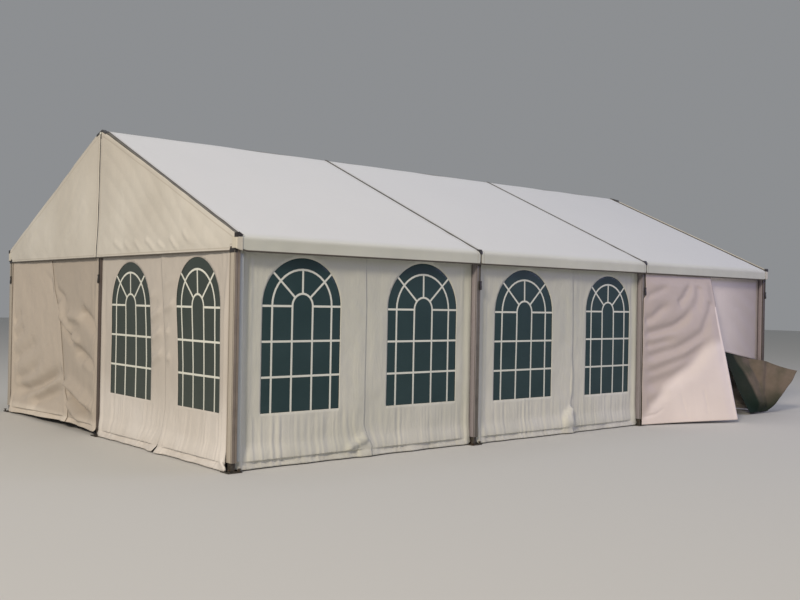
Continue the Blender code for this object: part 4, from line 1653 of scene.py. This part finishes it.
class Modeller:
    """Models one rigid piece in edit mode, starting from a box."""

    def __init__(self, name: str, low: Sequence[float], high: Sequence[float]) -> None:
        """Start from a box.

        Args:
            name: the piece's name.
            low: its lowest corner.
            high: its highest corner.
        """
        bpy.ops.object.select_all(action="DESELECT")
        middle = [(a + b) / 2 for a, b in zip(low, high)]
        bpy.ops.mesh.primitive_cube_add(size=1.0, calc_uvs=False, location=middle)
        self.piece = bpy.context.object
        self.piece.name = self.piece.data.name = name
        self.piece.scale = [b - a for a, b in zip(low, high)]
        bpy.ops.object.transform_apply(location=True, rotation=True, scale=True)

    def edit(self, operator: Callable, test: Test | None = None, **settings: object) -> Modeller:
        """Run an edit-mode operator on some of the piece's faces.

        Args:
            operator: what is run.
            test: tells from its middle and normal whether a face takes part, or all of them do.
            settings: the operator's own.

        Returns:
            The modeller.
        """
        bpy.ops.object.mode_set(mode="EDIT")
        bpy.ops.mesh.select_mode(type="FACE")
        bpy.ops.mesh.select_all(action="DESELECT")
        bpy.ops.object.mode_set(mode="OBJECT")
        for face in self.piece.data.polygons:
            face.select = test is None or test(face.center, face.normal)
        bpy.ops.object.mode_set(mode="EDIT")
        operator(**settings)
        bpy.ops.object.mode_set(mode="OBJECT")
        return self

    def split(self, axis: int, *places: float) -> Modeller:
        """Cut an edge loop round the piece at each place along an axis."""
        for place in places:
            point, normal = [0.0] * 3, [0.0] * 3
            point[axis], normal[axis] = place, 1.0
            self.edit(bpy.ops.mesh.bisect, plane_co=point, plane_no=normal)
        return self

    def push(self, move: Point3, test: Test) -> Modeller:
        """Extrude the faces that pass a test."""
        moved = {"value": tuple(move)}
        return self.edit(bpy.ops.mesh.extrude_region_move, test, TRANSFORM_OT_translate=moved)

    def slide(self, move: Point3, test: Test) -> Modeller:
        """Move the faces that pass a test, without new sides."""
        return self.edit(bpy.ops.transform.translate, test, value=tuple(move))

    def resize(self, value: Point3, about: Point3, test: Test) -> Modeller:
        """Scale the faces that pass a test about a point."""
        return self.edit(
            bpy.ops.transform.resize, test, value=tuple(value), center_override=tuple(about)
        )

    def rod(self, start: Sequence[float], end: Sequence[float], radius: float) -> Modeller:
        """Join a round bar to the piece.

        Args:
            start: the middle of one end.
            end: the middle of the other end.
            radius: of the bar.

        Returns:
            The modeller.
        """
        run = Vector(end) - Vector(start)
        bpy.ops.object.select_all(action="DESELECT")
        bpy.ops.mesh.primitive_cylinder_add(
            vertices=16, radius=radius, depth=run.length, calc_uvs=False,
            location=(Vector(start) + Vector(end)) / 2,
            rotation=run.to_track_quat("Z", "Y").to_euler(),
        )
        bpy.ops.object.transform_apply(location=True, rotation=True, scale=True)
        return self.join(bpy.context.object)

    def join(self, *others: Piece) -> Modeller:
        """Join other objects to the piece."""
        for other in others:
            other.select_set(True)
        self.piece.select_set(True)
        bpy.context.view_layer.objects.active = self.piece
        bpy.ops.object.join()
        return self

    def done(self, finish: Material, round_edges: float = 0.002) -> Piece:
        """Round the sharp edges, and give the piece its finish.

        Args:
            finish: its material.
            round_edges: width of the rounding.

        Returns:
            The piece.
        """
        bpy.context.view_layer.objects.active = self.piece
        bevel = self.piece.modifiers.new("rounding", "BEVEL")
        bevel.width, bevel.segments, bevel.limit_method = round_edges, 2, "ANGLE"
        bpy.ops.object.modifier_apply(modifier=bevel.name)
        bpy.ops.object.select_all(action="DESELECT")
        self.piece.select_set(True)
        bpy.ops.object.shade_smooth_by_angle(angle=math.radians(35))
        self.piece.data.materials.clear()
        self.piece.data.materials.append(finish)
        return self.piece


def copied(model: Piece, name: str, move: Matrix) -> Piece:
    """Copy a model, with a mesh of its own, to another place.

    Args:
        model: the piece to copy.
        name: the copy's name.
        move: where it goes.

    Returns:
        The copy, at the origin and unturned.
    """
    made = model.copy()
    made.data = model.data.copy()
    made.name = made.data.name = name
    made.data.transform(move)
    if move.determinant() < 0:
        made.data.flip_normals()
    bpy.context.scene.collection.objects.link(made)
    return made


def placed(x: float, y: float, turn: float = 0.0, mirror: bool = False) -> Matrix:
    """A move from the origin to a place on the ground, after a turn about the vertical.

    Args:
        x: along the tent.
        y: across the tent.
        turn: in degrees.
        mirror: swap left and right first.

    Returns:
        The matrix.
    """
    matrix = Matrix.Translation((x, y, 0.0)) @ Matrix.Rotation(math.radians(turn), 4, "Z")
    return matrix @ Matrix.Scale(-1.0, 4, (1.0, 0.0, 0.0)) if mirror else matrix


@dataclass
class Fittings:
    """Rigid pieces that are copied from models."""

    sizes: TentSizes
    finishes: Finishes
    pieces: list[Piece] = field(default_factory=list)

    def put(self, model: Piece, name: str, move: Matrix) -> Piece:
        """Add a copy of a model.

        Args:
            model: the piece to copy.
            name: the copy's name.
            move: where it goes.

        Returns:
            The copy.
        """
        self.pieces.append(copied(model, name, move))
        return self.pieces[-1]

    def settle(self, *models: Piece) -> list[Piece]:
        """Remove the models, and let the copies move with the tent.

        Args:
            models: all that were copied.

        Returns:
            The copies.
        """
        for model in models:
            bpy.data.objects.remove(model, do_unlink=True)
        for piece in self.pieces:
            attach(piece, BODY)
        return self.pieces


@dataclass
class Upright(Fittings):
    """A leg or gable post: grooved profile, steel foot with pins, and a black tension latch."""

    groove: float = 0.008
    groove_depth: float = 0.009
    foot_height: float = 0.090
    plate_half: float = 0.075
    plate: float = 0.010
    spigot_half: float = 0.020
    pin_place: float = 0.056
    pin_radius: float = 0.009
    latch_low: float = 1.780
    latch_height: float = 0.105
    latch_half: float = 0.017
    strap_top: float = 2.085
    bracket: tuple[float, float] = (2.062, 2.104)  # black sleeve under the corner's valance
    track: tuple[float, float] = (0.0305, 0.078)  # spare wall track beside a corner leg
    track_height: tuple[float, float] = (0.100, 2.055)
    track_place: float = -0.030

    def profile(self, name: str, depth: float, top: float, finish: Material) -> Piece:
        """The aluminium profile, with two cloth grooves in each side and one in each face.

        Args:
            name: of the piece.
            depth: across the tent.
            top: its height.
            finish: its material.

        Returns:
            The piece.
        """
        w, d, g = self.sizes.leg_width / 2, depth / 2, self.groove
        outer, inner = d - 0.010, d - 0.010 - g
        model = Modeller(name, (-w, -d, self.foot_height), (w, d, top))
        model.split(1, -outer, -inner, inner, outer).split(0, 0.001, 0.001 + g)
        for side in (-1.0, 1.0):
            model.push(
                (-side * self.groove_depth, 0, 0),
                lambda c, n: n.x * side > 0.9 and inner < abs(c.y) < outer,
            )
            model.push(
                (0, -side * 0.005, 0),
                lambda c, n: n.y * side > 0.9 and 0.001 < c.x < 0.001 + g and abs(c.y) > d - 1e-4,
            )
        return model.done(finish, 0.0015)

    def foot(self, name: str, depth: float, pinned: bool) -> Piece:
        """The galvanised foot: base plate, spigot and cross bolt.

        Args:
            name: of the piece.
            depth: of the spigot.
            pinned: add the two ground pins.

        Returns:
            The piece.
        """
        plate, half, far = self.plate_half, self.spigot_half, self.pin_place
        model = Modeller(name, (-plate, -plate, 0.0), (plate, plate, self.plate))
        model.split(0, -half, half).split(1, -depth / 2, depth / 2)
        model.push(
            (0, 0, self.foot_height - 0.0103),
            lambda c, n: n.z > 0.9 and abs(c.x) < half and abs(c.y) < depth / 2,
        )
        model.rod((-0.0235, 0, 0.055), (0.0235, 0, 0.055), 0.008)
        for x in (-far, far) if pinned else ():
            model.rod((x, -far, 0.002), (x, -far, 0.030), self.pin_radius)
            model.rod((x, -far, 0.028), (x, -far, 0.038), self.pin_radius * 1.9)
        return model.done(self.finishes.steel, 0.0012)

    def latch(self) -> Piece:
        """The tension latch on the outer face: a tapered lever on a hinge, and its strap."""
        low, high, half = self.latch_low, self.latch_low + self.latch_height, self.latch_half
        model = Modeller("latch", (-half, -0.018, low), (half, -0.0003, high))
        model.split(2, low + 0.025, high - 0.03)
        model.slide((0, 0.006, 0), lambda c, n: n.y < -0.9 and c.z > high - 0.03)
        model.resize((0.7, 1, 1), (0, 0, low), lambda c, n: n.z < -0.9)
        model.rod((-0.016, -0.011, high - 0.012), (0.016, -0.011, high - 0.012), 0.006)
        model.rod((0.0, -0.0045, high - 0.02), (0.0, -0.0045, self.strap_top), 0.004)
        return model.done(self.finishes.nylon, 0.002)

    def corner_fittings(self) -> list[Piece]:
        """Models of the black sleeve on a corner leg, and of the spare track beside it."""
        w, d = self.sizes.leg_width / 2, self.sizes.leg_depth / 2
        low, high = self.bracket
        side = Modeller("bracket_side", (-w - 0.0035, -d - 0.0035, low), (-w - 0.0003, 0.030, high))
        side.slide((0, 0.02, 0), lambda c, n: n.z < -0.9)
        front = Modeller("bracket", (-w - 0.0035, -d - 0.0035, low), (-0.005, -d - 0.0003, high))
        front.split(0, -0.02).join(side.piece)
        (near, far), y = self.track, self.track_place
        track = Modeller(
            "track", (near, y - 0.004, self.track_height[0]), (far, y + 0.004, self.track_height[1])
        )
        track.split(0, far - 0.012, far - 0.006)
        track.push((0, 0.003, 0), lambda c, n: n.y < -0.9 and far - 0.012 < c.x < far - 0.006)
        return [front.done(self.finishes.nylon, 0.001), track.done(self.finishes.track, 0.001)]

    def build(self) -> list[Piece]:
        """Make every leg and both gable posts."""
        s, f, half = self.sizes, self.finishes, self.sizes.leg_depth / 2
        profile = self.profile("leg_profile", s.leg_depth, s.leg_top, f.aluminium)
        post_top = s.roof(s.middle - s.post_half, 0.110) - 0.0003
        post = self.profile("post_profile", s.post_half * 2, post_top, f.post)
        foot, post_foot = self.foot("leg_foot", 0.070, True), self.foot("post_foot", 0.060, False)
        latch = self.latch()
        bracket, track = self.corner_fittings()
        for index, x in enumerate(s.frames):
            first, last = index == 0, index == len(s.frames) - 1
            for side, y, turn in ((Side.FRONT, 0.0, 0.0), (Side.BACK, s.span, 180.0)):
                tag, back = f"{side.value}_{index + 1}", side is Side.BACK
                move = placed(x, y, turn, mirror=back)
                leg = self.put(profile, f"leg_profile_{tag}", move)
                leg.data.materials[0] = f.corner if first else f.post if last else f.aluminium
                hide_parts(f"leg_{tag}")
                self.put(foot, f"leg_foot_{tag}", move)
                out = half if back else -half
                turned = placed(x, y, turn, mirror=last != back)
                if first or last:
                    self.put(bracket, f"bracket_{tag}", turned)
                if first and not back:
                    self.put(track, f"track_{tag}", turned)
                if back and (first or last):
                    beyond = 1 if last else -1
                    where = placed(x + beyond * s.leg_width / 2, y - out * 0.3, 90.0 * beyond)
                    self.put(latch, f"latch_{tag}", where)
                elif not first:
                    self.put(latch, f"latch_{tag}", placed(x + 0.020, y + out, turn))
        for end, x, turn in ((End.NEAR, 0.0, -90.0), (End.FAR, s.length, 90.0)):
            pole = self.put(post, f"post_profile_{end.value}", placed(x, s.middle))
            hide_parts(f"gable_post_{end.value}")
            self.put(post_foot, f"post_foot_{end.value}", placed(x, s.middle, turn))
            out = math.copysign(s.leg_width / 2, turn)
            where = placed(x + out, s.middle + 0.016, turn)
            self.put(latch, f"latch_gable_{end.value}", where)
        return self.settle(profile, post, foot, post_foot, latch, bracket, track)


@dataclass
class RoofFittings(Fittings):
    """Black moulded plugs at the foot of every rafter, and the joint plate at each ridge end."""

    plug_half: float = 0.030
    saddle_reach: tuple[float, float] = (0.100, 0.150)

    def plug(self) -> Piece:
        """The wedge over the eave's curve, at the end of a middle rafter's rib."""
        s = self.sizes
        crest, face, half = s.eave + 0.010, s.valance_face - 0.003, self.plug_half
        model = Modeller("plug", (-half, face, crest - 0.058), (half, face + 0.05, crest))
        model.split(2, crest - 0.026, crest - 0.012)
        model.slide((0, 0.008, 0), lambda c, n: n.y < -0.9 and c.z > crest - 0.026)
        model.slide((0, 0.014, 0), lambda c, n: n.y < -0.7 and c.z > crest - 0.012)
        model.resize((0.55, 1, 1), (0, 0, 0), lambda c, n: n.z < -0.9)
        return model.done(self.finishes.nylon, 0.003)

    def end_plug(self) -> Piece:
        """The wedge round the corner at the foot of an end rafter."""
        s = self.sizes
        side, face = -s.leg_width / 2 - 0.0085, s.valance_face - 0.0055
        low, high = s.eave - 0.026, s.eave + 0.019
        model = Modeller("end_plug", (side, face, low), (0.036, face + 0.046, high))
        model.split(0, -0.010)
        model.resize((1, 1, 0.1), (0, 0, s.eave - 0.011), lambda c, n: n.x > 0.9)
        model.slide((0, 0, -0.006), lambda c, n: n.x < -0.9)
        return model.done(self.finishes.nylon, 0.003)

    def saddle(self) -> Piece:
        """The dark joint plate on the gable's peak, with a hook slot under it."""
        s, (right, left), x = self.sizes, self.saddle_reach, -0.0375
        slot = Modeller("slot", (x, 0.014, s.ridge - 0.105), (-0.034, 0.034, s.ridge - 0.050))
        model = Modeller("saddle", (x, -right, s.ridge - 0.024), (0.010, left, s.ridge + 0.002))
        model.split(1, 0.0)
        model.slide((0, 0, -0.040), lambda c, n: n.y < -0.9)
        model.slide((0, 0, -0.046), lambda c, n: n.y > 0.9)
        return model.join(slot.piece).done(self.finishes.grey_nylon, 0.002)

    def pin(self) -> Piece:
        """The bright head of the ridge pin."""
        s = self.sizes
        model = Modeller("pin", (-0.046, 0.006, s.ridge - 0.052), (-0.038, 0.040, s.ridge - 0.028))
        model.split(2, s.ridge - 0.040)
        return model.done(self.finishes.bar, 0.004)

    def build(self) -> list[Piece]:
        """Make the plugs, the saddles and their pins."""
        s = self.sizes
        middle, end = self.plug(), self.end_plug()
        for index, x in enumerate(s.frames):
            first, last = index == 0, index == len(s.frames) - 1
            for side, y, turn in ((Side.FRONT, 0.0, 0.0), (Side.BACK, s.span, 180.0)):
                where = placed(x, y, turn, last != (side is Side.BACK))
                model = end if first or last else middle
                self.put(model, f"plug_{side.value}_{index + 1}", where)
        saddle, pin = self.saddle(), self.pin()
        for end_name, x, turn in ((End.NEAR, 0.0, 0.0), (End.FAR, s.length, 180.0)):
            where = placed(x, s.middle, turn)
            self.put(saddle, f"saddle_{end_name.value}", where)
            self.put(pin, f"ridge_pin_{end_name.value}", where)
        return self.settle(middle, end, saddle, pin)


@dataclass
class CornerTab:
    """The white end of a valance, wrapped round a corner over the gable cloth."""

    end: End
    side: Side
    sizes: TentSizes
    finish: Material
    front_reach: float = 0.060
    gable_reach: float = 0.075
    height: float = 0.112
    radius: float = 0.009
    thickness: float = 0.0012

    def build(self) -> list[Piece]:
        """Make the tab."""
        s = self.sizes
        near, front = self.end is End.NEAR, self.side is Side.FRONT
        edge_x, edge_y = -s.leg_width / 2 - 0.0075, s.valance_face - 0.0035
        turn = self.radius * math.pi / 2
        total = self.front_reach + turn + self.gable_reach
        low = s.valance_bottom + 0.004

        def place(u: float, v: float) -> Vector:
            if u < self.front_reach:
                x, y = edge_x + self.radius + self.front_reach - u, edge_y
            elif u < self.front_reach + turn:
                angle = (u - self.front_reach) / self.radius
                x = edge_x + self.radius * (1 - math.sin(angle))
                y = edge_y + self.radius * (1 - math.cos(angle))
            else:
                x, y = edge_x, edge_y + self.radius + u - self.front_reach - turn
            share = u / total
            foot = low + 0.006 + 0.022 * smooth(share, 0.0, 0.7)
            z = foot + (low + 0.022 + self.height - foot) * v
            return Vector((x if near else s.length - x, y if front else s.span - y, z))

        us = lines([0.0, self.front_reach, self.front_reach + turn, total], 0.006)
        shape = lattice(us, lines([0.0, 1.0], 0.1), place, flip=near == front)
        name = f"corner_tab_{self.end.value}_{self.side.value}"
        tab = mesh_object(name, shape, self.finish, self.thickness)
        return hang(tab, (), (total, self.height), Hold.STRETCHED)


@dataclass
class DoorwayBay:
    """The front of the last bay: loose door flap, raised curtain and the brown canvas."""

    sizes: TentSizes
    finishes: Finishes
    thickness: float = 0.0015
    flap_top_width: float = 1.650  # from the middle of the leg to the free edge
    flap_foot_width: float = 1.520
    flap_out: float = 0.560
    flap_lift: float = 0.030
    flap_free_height: float = 1.720
    flap_puff: float = 0.022
    curtain_width: float = 1.620
    curtain_low: float = 0.800
    curtain_rise: float = 0.260
    tail_start: float = 0.980
    tail_reach: float = 0.340
    tail_out: float = 0.390
    tail_corner_height: float = 0.660
    tail_foot: Point2 = (0.600, -0.070)
    tail_foot_out: float = 0.130
    tail_fold: float = 0.090
    tail_ripple: float = 0.014
    curtain_fold: float = 0.006
    curtain_ripple: float = 0.007

    def flap_height(self, u: float, v: float) -> float:
        """Height of the loose flap at a point of it."""
        top = self.sizes.wall_top + 0.030
        return top + (self.sizes.ground + self.flap_lift * u - top) * v

    def flap_tone(self, u: float, v: float) -> Point2:
        """For the second UV map: the height over the line below which the flap is painted bright.
        """
        over = self.flap_height(u, v) - read_off(FLAP_PAINTED_BRIGHT, u * self.flap_top_width)
        # painted highlight: a bright strip along the free edge's hem
        strip = smooth(u, 0.972, 0.984) * smooth(1.68 - self.flap_height(u, v), 0.0, 0.12)
        return 0.0, over - 2.0 * strip

    def flap_point(self, u: float, v: float) -> Vector:
        """A point of the loose flap, for u across and v down, both from 0 to 1."""
        s = self.sizes
        leg, z = s.frames[-2], self.flap_height(u, v)
        beside = smooth(z, self.flap_free_height, self.flap_free_height + 0.06)
        left = leg - s.leg_width / 2 + 0.016 + (s.leg_width - 0.015) * beside
        right = leg + self.flap_top_width + (self.flap_foot_width - self.flap_top_width) * v
        hang = max(s.valance_bottom - z, 0.0) / s.valance_bottom
        along = u * self.flap_top_width
        depth = self.flap_puff * (0.4 + 0.6 * smooth(u, 0.0, 0.14)) * smooth(1.0 - u, 0.0, 0.12)
        depth += sum(crease.lift(along, z) for crease in FLAP_CREASES)
        depth = max(depth, 0.001 - 0.08 * smooth(u, 0.030, 0.075))
        depth *= smooth(hang, 0.0, 0.08)
        depth += 0.006 * ripple(u * 1.5, z * 1.1, 93) * hang * smooth(u, 0.03, 0.1)
        depth += 0.002 * smooth(u, 0.972, 0.978)
        y = -s.leg_depth / 2 - 0.0006 - self.flap_out * hang * u**1.3 - depth - 0.004 * hang
        return Vector((left + (right - left) * u, y, z))

    def curtain_hem(self, x: float) -> float:
        """Height of the raised curtain's hem at x."""
        return self.curtain_low + self.curtain_rise * (self.sizes.length - x) / self.curtain_width

    def curtain_point(self, u: float, v: float) -> Vector:
        """A point of the raised curtain, for u along it and v down from 0 to 1."""
        s = self.sizes
        left, right = s.length - self.curtain_width, s.length - s.leg_width / 2 - 0.0005
        x = left + (right - left) * u
        low = self.curtain_hem(x)
        z = s.wall_top + (low - s.wall_top) * v
        slant = (z + 0.55 * x) / 0.33 + 0.4 * ripple(x * 1.2, z, 71)
        fold = self.curtain_fold * math.sin(2 * math.pi * slant) * smooth(u, 0.35, 0.8)
        fold *= smooth(1 - u, 0, 0.1)
        fold *= smooth(v, 0.1, 0.4)
        fold += self.curtain_ripple * ripple(x * 1.1, z * 0.9, 72) * smooth(v, 0.0, 0.3)
        rolled = 0.004 * smooth(z, low + 0.034, low + 0.030)
        return Vector((x, s.leg_depth / 2 - 0.015 - fold * smooth(1 - u, 0, 0.06) - rolled, z))

    def return_point(self, u: float, v: float) -> Vector:
        """A point of the curtain's end, wrapped over the last leg's side."""
        s = self.sizes
        low = self.curtain_hem(s.length) - 0.004
        z = s.wall_top + (low - s.wall_top) * v
        side = s.length - s.leg_width / 2 - 0.0025 - 0.003 * math.sin(math.pi * u)
        return Vector((side, s.leg_depth / 2 - 0.016 - (s.leg_depth - 0.034) * u, z))

    def tail_point(self, u: float, v: float) -> Vector:
        """A point of the brown canvas, for u along its top edge and v down to its foot."""
        s = self.sizes
        x = s.length - self.tail_start + (self.tail_start + self.tail_reach) * u
        swing = smooth(x, s.length - 0.30, s.length - s.leg_width)
        beyond = max(x - s.length, 0.0) / self.tail_reach
        back, front = s.leg_depth / 2 - 0.012, -s.leg_depth / 2 - s.leg_width
        y = back + (front - back) * swing + (-s.leg_depth / 2 - self.tail_out - front) * beyond
        hem = self.curtain_hem(x) - 0.004
        z = hem + (self.tail_corner_height - hem) * beyond
        foot_x = s.length - self.tail_foot[0] + sum(self.tail_foot) * u
        foot_y = -s.leg_depth / 2 - self.tail_foot_out
        line = 0.50 + 0.24 * v  # where the left half falls back behind the right one
        fold = self.tail_fold * smooth(line - u, -0.035, 0.075) * smooth(u, 0.0, 0.45)
        fold += 0.030 * smooth(u, line + 0.02, 1.0)
        fold -= 0.020 * bell(u, line, 0.03)
        fold *= smooth(v, 0.03, 0.35) * smooth(1 - v, 0.0, 0.2)
        slack = self.tail_ripple * ripple(u * 5, v * 4, 82) * smooth(v, 0.0, 0.3)
        fold += slack * smooth(1 - v, 0.0, 0.1)
        foot = (x + (foot_x - x) * v ** (1.2 - 0.25 * u), y + (foot_y - y) * v**1.2 - fold)
        return Vector((*foot, z + (0.030 - z) * v))

    def sheet(
        self, name: str, place: Drape, size: Point2, step: float, finish: Material, node: str,
        area: float | None = None, rim: Rim | None = None,
    ) -> Piece:
        """Make one loose sheet from its point function.

        Args:
            name: of the piece.
            place: the point for u and v.
            size: width and height of the cut, flat.
            step: of the grid.
            finish: its material.
            node: the solid it replaces.
            area: of the cut, where it isn't the whole rectangle.
            rim: for the second UV map.

        Returns:
            The piece.
        """
        us, vs = lines([0.0, 1.0], step / size[0]), lines([0.0, 1.0], step / size[1])
        shape = lattice(us, vs, place, flip=True, rim=rim)
        scale_uv(shape, *size)
        cloth = mesh_object(name, shape, finish, self.thickness)
        return hang(cloth, [node], size, Hold.HUNG, area)[0]

    def build(self) -> list[Piece]:
        """Make the three sheets."""
        s, f, raised = self.sizes, self.finishes, "raised_curtain"
        height = s.wall_top - s.ground
        right = self.curtain_hem(s.length)
        left = self.curtain_hem(s.length - self.curtain_width)
        strip = (s.leg_depth - 0.034, s.wall_top - right)
        flap = (self.flap_top_width, height + 0.05)
        curtain = (self.curtain_width, s.wall_top - right)
        area = self.curtain_width * (s.wall_top - (left + right) / 2)
        tail = (self.tail_start + self.tail_reach, 0.95)
        rows = (
            # the curtain's end wears the darker copy of its cloth: painted shade
            ("curtain_return_cloth", self.return_point, strip, 0.02, f.curtain_end_painted_shade, raised),
            (
                "door_cloth", self.flap_point, flap, 0.016, f.door, "door_flap", 1.6 * height,
                self.flap_tone,
            ),
            ("raised_curtain_cloth", self.curtain_point, curtain, 0.025, f.curtain, raised, area),
            ("canvas", self.tail_point, tail, 0.014, f.canvas, "brown_tail", 0.85),
        )
        return [self.sheet(*row) for row in rows]


@dataclass
class Studio:
    """Floor, light and the camera at the photo's angle."""

    finishes: Finishes
    focal_px: float = 972.33
    image_width_px: float = 800.0
    eye: Point3 = (-4.7785, -7.9188, 1.6277)
    yaw: float = 0.7118  # from +Y towards +X
    pitch: float = 0.0019
    roll: float = 0.0182
    floor_size: float = 120.0
    sky: str = "#dfe2e6"
    sky_strength: float = 0.36

    def build(self) -> None:
        """Add the floor, the lights, the world and the camera."""
        self.floor()
        self.lights()
        self.camera()

    def floor(self) -> None:
        """Lay the pale floor just under the tent's feet."""
        bpy.ops.object.select_all(action="DESELECT")
        bpy.ops.mesh.primitive_plane_add(size=self.floor_size, location=(4.8, 2.95, -0.001))
        floor = bpy.context.object
        floor.name = "studio_floor"
        floor.data.materials.append(self.finishes.floor)

    def lights(self) -> None:
        """Soft light from above, a warm side light and an even pale world."""
        world = bpy.data.worlds.new("studio")
        world.use_nodes = True
        bpy.context.scene.world = world
        sky = world.node_tree.nodes["Background"]
        sky.inputs["Color"].default_value = linear(self.sky)
        sky.inputs["Strength"].default_value = self.sky_strength
        rows = (  # name, place, target, side, power in watts and colour
            ("above", (5.0, 0.0, 14.0), (5.0, 2.95, 0.0), 14.0, 470.0, "#f2f5fa"),
            ("left", (-26.5, -14.5, 20.0), (3.0, 1.0, 1.2), 7.0, 9700.0, "#fff0dc"),
            ("right", (17.0, -9.0, 6.0), (7.0, 0.0, 1.2), 4.0, 330.0, "#c9c2ff"),
        )
        for name, place, target, size, watts, colour in rows:
            data = bpy.data.lights.new(name, "AREA")
            data.size, data.energy, data.color = size, watts, linear(colour)[:3]
            lamp = bpy.data.objects.new(name, data)
            lamp.location, facing = place, Vector(target) - Vector(place)
            lamp.rotation_euler = facing.to_track_quat("-Z", "Y").to_euler()
            bpy.context.scene.collection.objects.link(lamp)

    def camera(self) -> None:
        """Put the camera where the photo was taken from."""
        sine, cosine, level_share = math.sin(self.yaw), math.cos(self.yaw), math.cos(self.pitch)
        forward = Vector((sine * level_share, cosine * level_share, math.sin(self.pitch)))
        level = Vector((cosine, -sine, 0.0))
        upright = level.cross(forward)
        right = math.cos(self.roll) * level + math.sin(self.roll) * upright
        up = -math.sin(self.roll) * level + math.cos(self.roll) * upright
        turn = Matrix((right, up, -forward)).transposed().to_4x4()
        data = bpy.data.cameras.new("photo_camera")
        data.sensor_width = 36.0
        data.lens = self.focal_px / self.image_width_px * data.sensor_width
        data.clip_end = 500.0
        camera = bpy.data.objects.new("photo_camera", data)
        camera.matrix_world = Matrix.Translation(self.eye) @ turn
        bpy.context.scene.collection.objects.link(camera)
        bpy.context.scene.camera = camera


def dress_frame(finishes: Finishes, nodes: Iterable[Piece]) -> None:
    """Give the bars of the roof frame their weathered aluminium.

    Args:
        finishes: the tent's materials.
        nodes: the frame's solids.
    """
    for node in nodes:
        node.data.materials.clear()
        node.data.materials.append(finishes.rafter)


def main() -> None:
    """Build the dressed tent in order, and report each part."""
    logging.basicConfig(level=logging.INFO, format="%(name)s: %(message)s")
    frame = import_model()
    bpy.context.scene.view_settings.view_transform = "Standard"
    sizes = TentSizes.from_frame()
    finishes = Finishes()
    bars = ("rafters_", "ridge_", "eave_", "gable_beam")
    dress_frame(finishes, [o for n, o in frame["nodes"].items() if n.startswith(bars)])
    corners = [(end, side) for end in End for side in Side]
    builders = [
        Upright(sizes, finishes), RoofFittings(sizes, finishes),
        *(RoofSheet(index, sizes, finishes.roof) for index in range(len(sizes.frames) - 1)),
        *(GableSheet(end, side, sizes, finishes.gable) for end, side in corners),
        *(CornerTab(end, side, sizes, finishes.tab) for end, side in corners),
        Walls(sizes, finishes), DoorwayBay(sizes, finishes)
    ]
    for builder in builders:
        for piece in builder.build():
            LOG.info("built %s", piece.name)
    Studio(finishes).build()


if __name__ == "__main__":
    main()
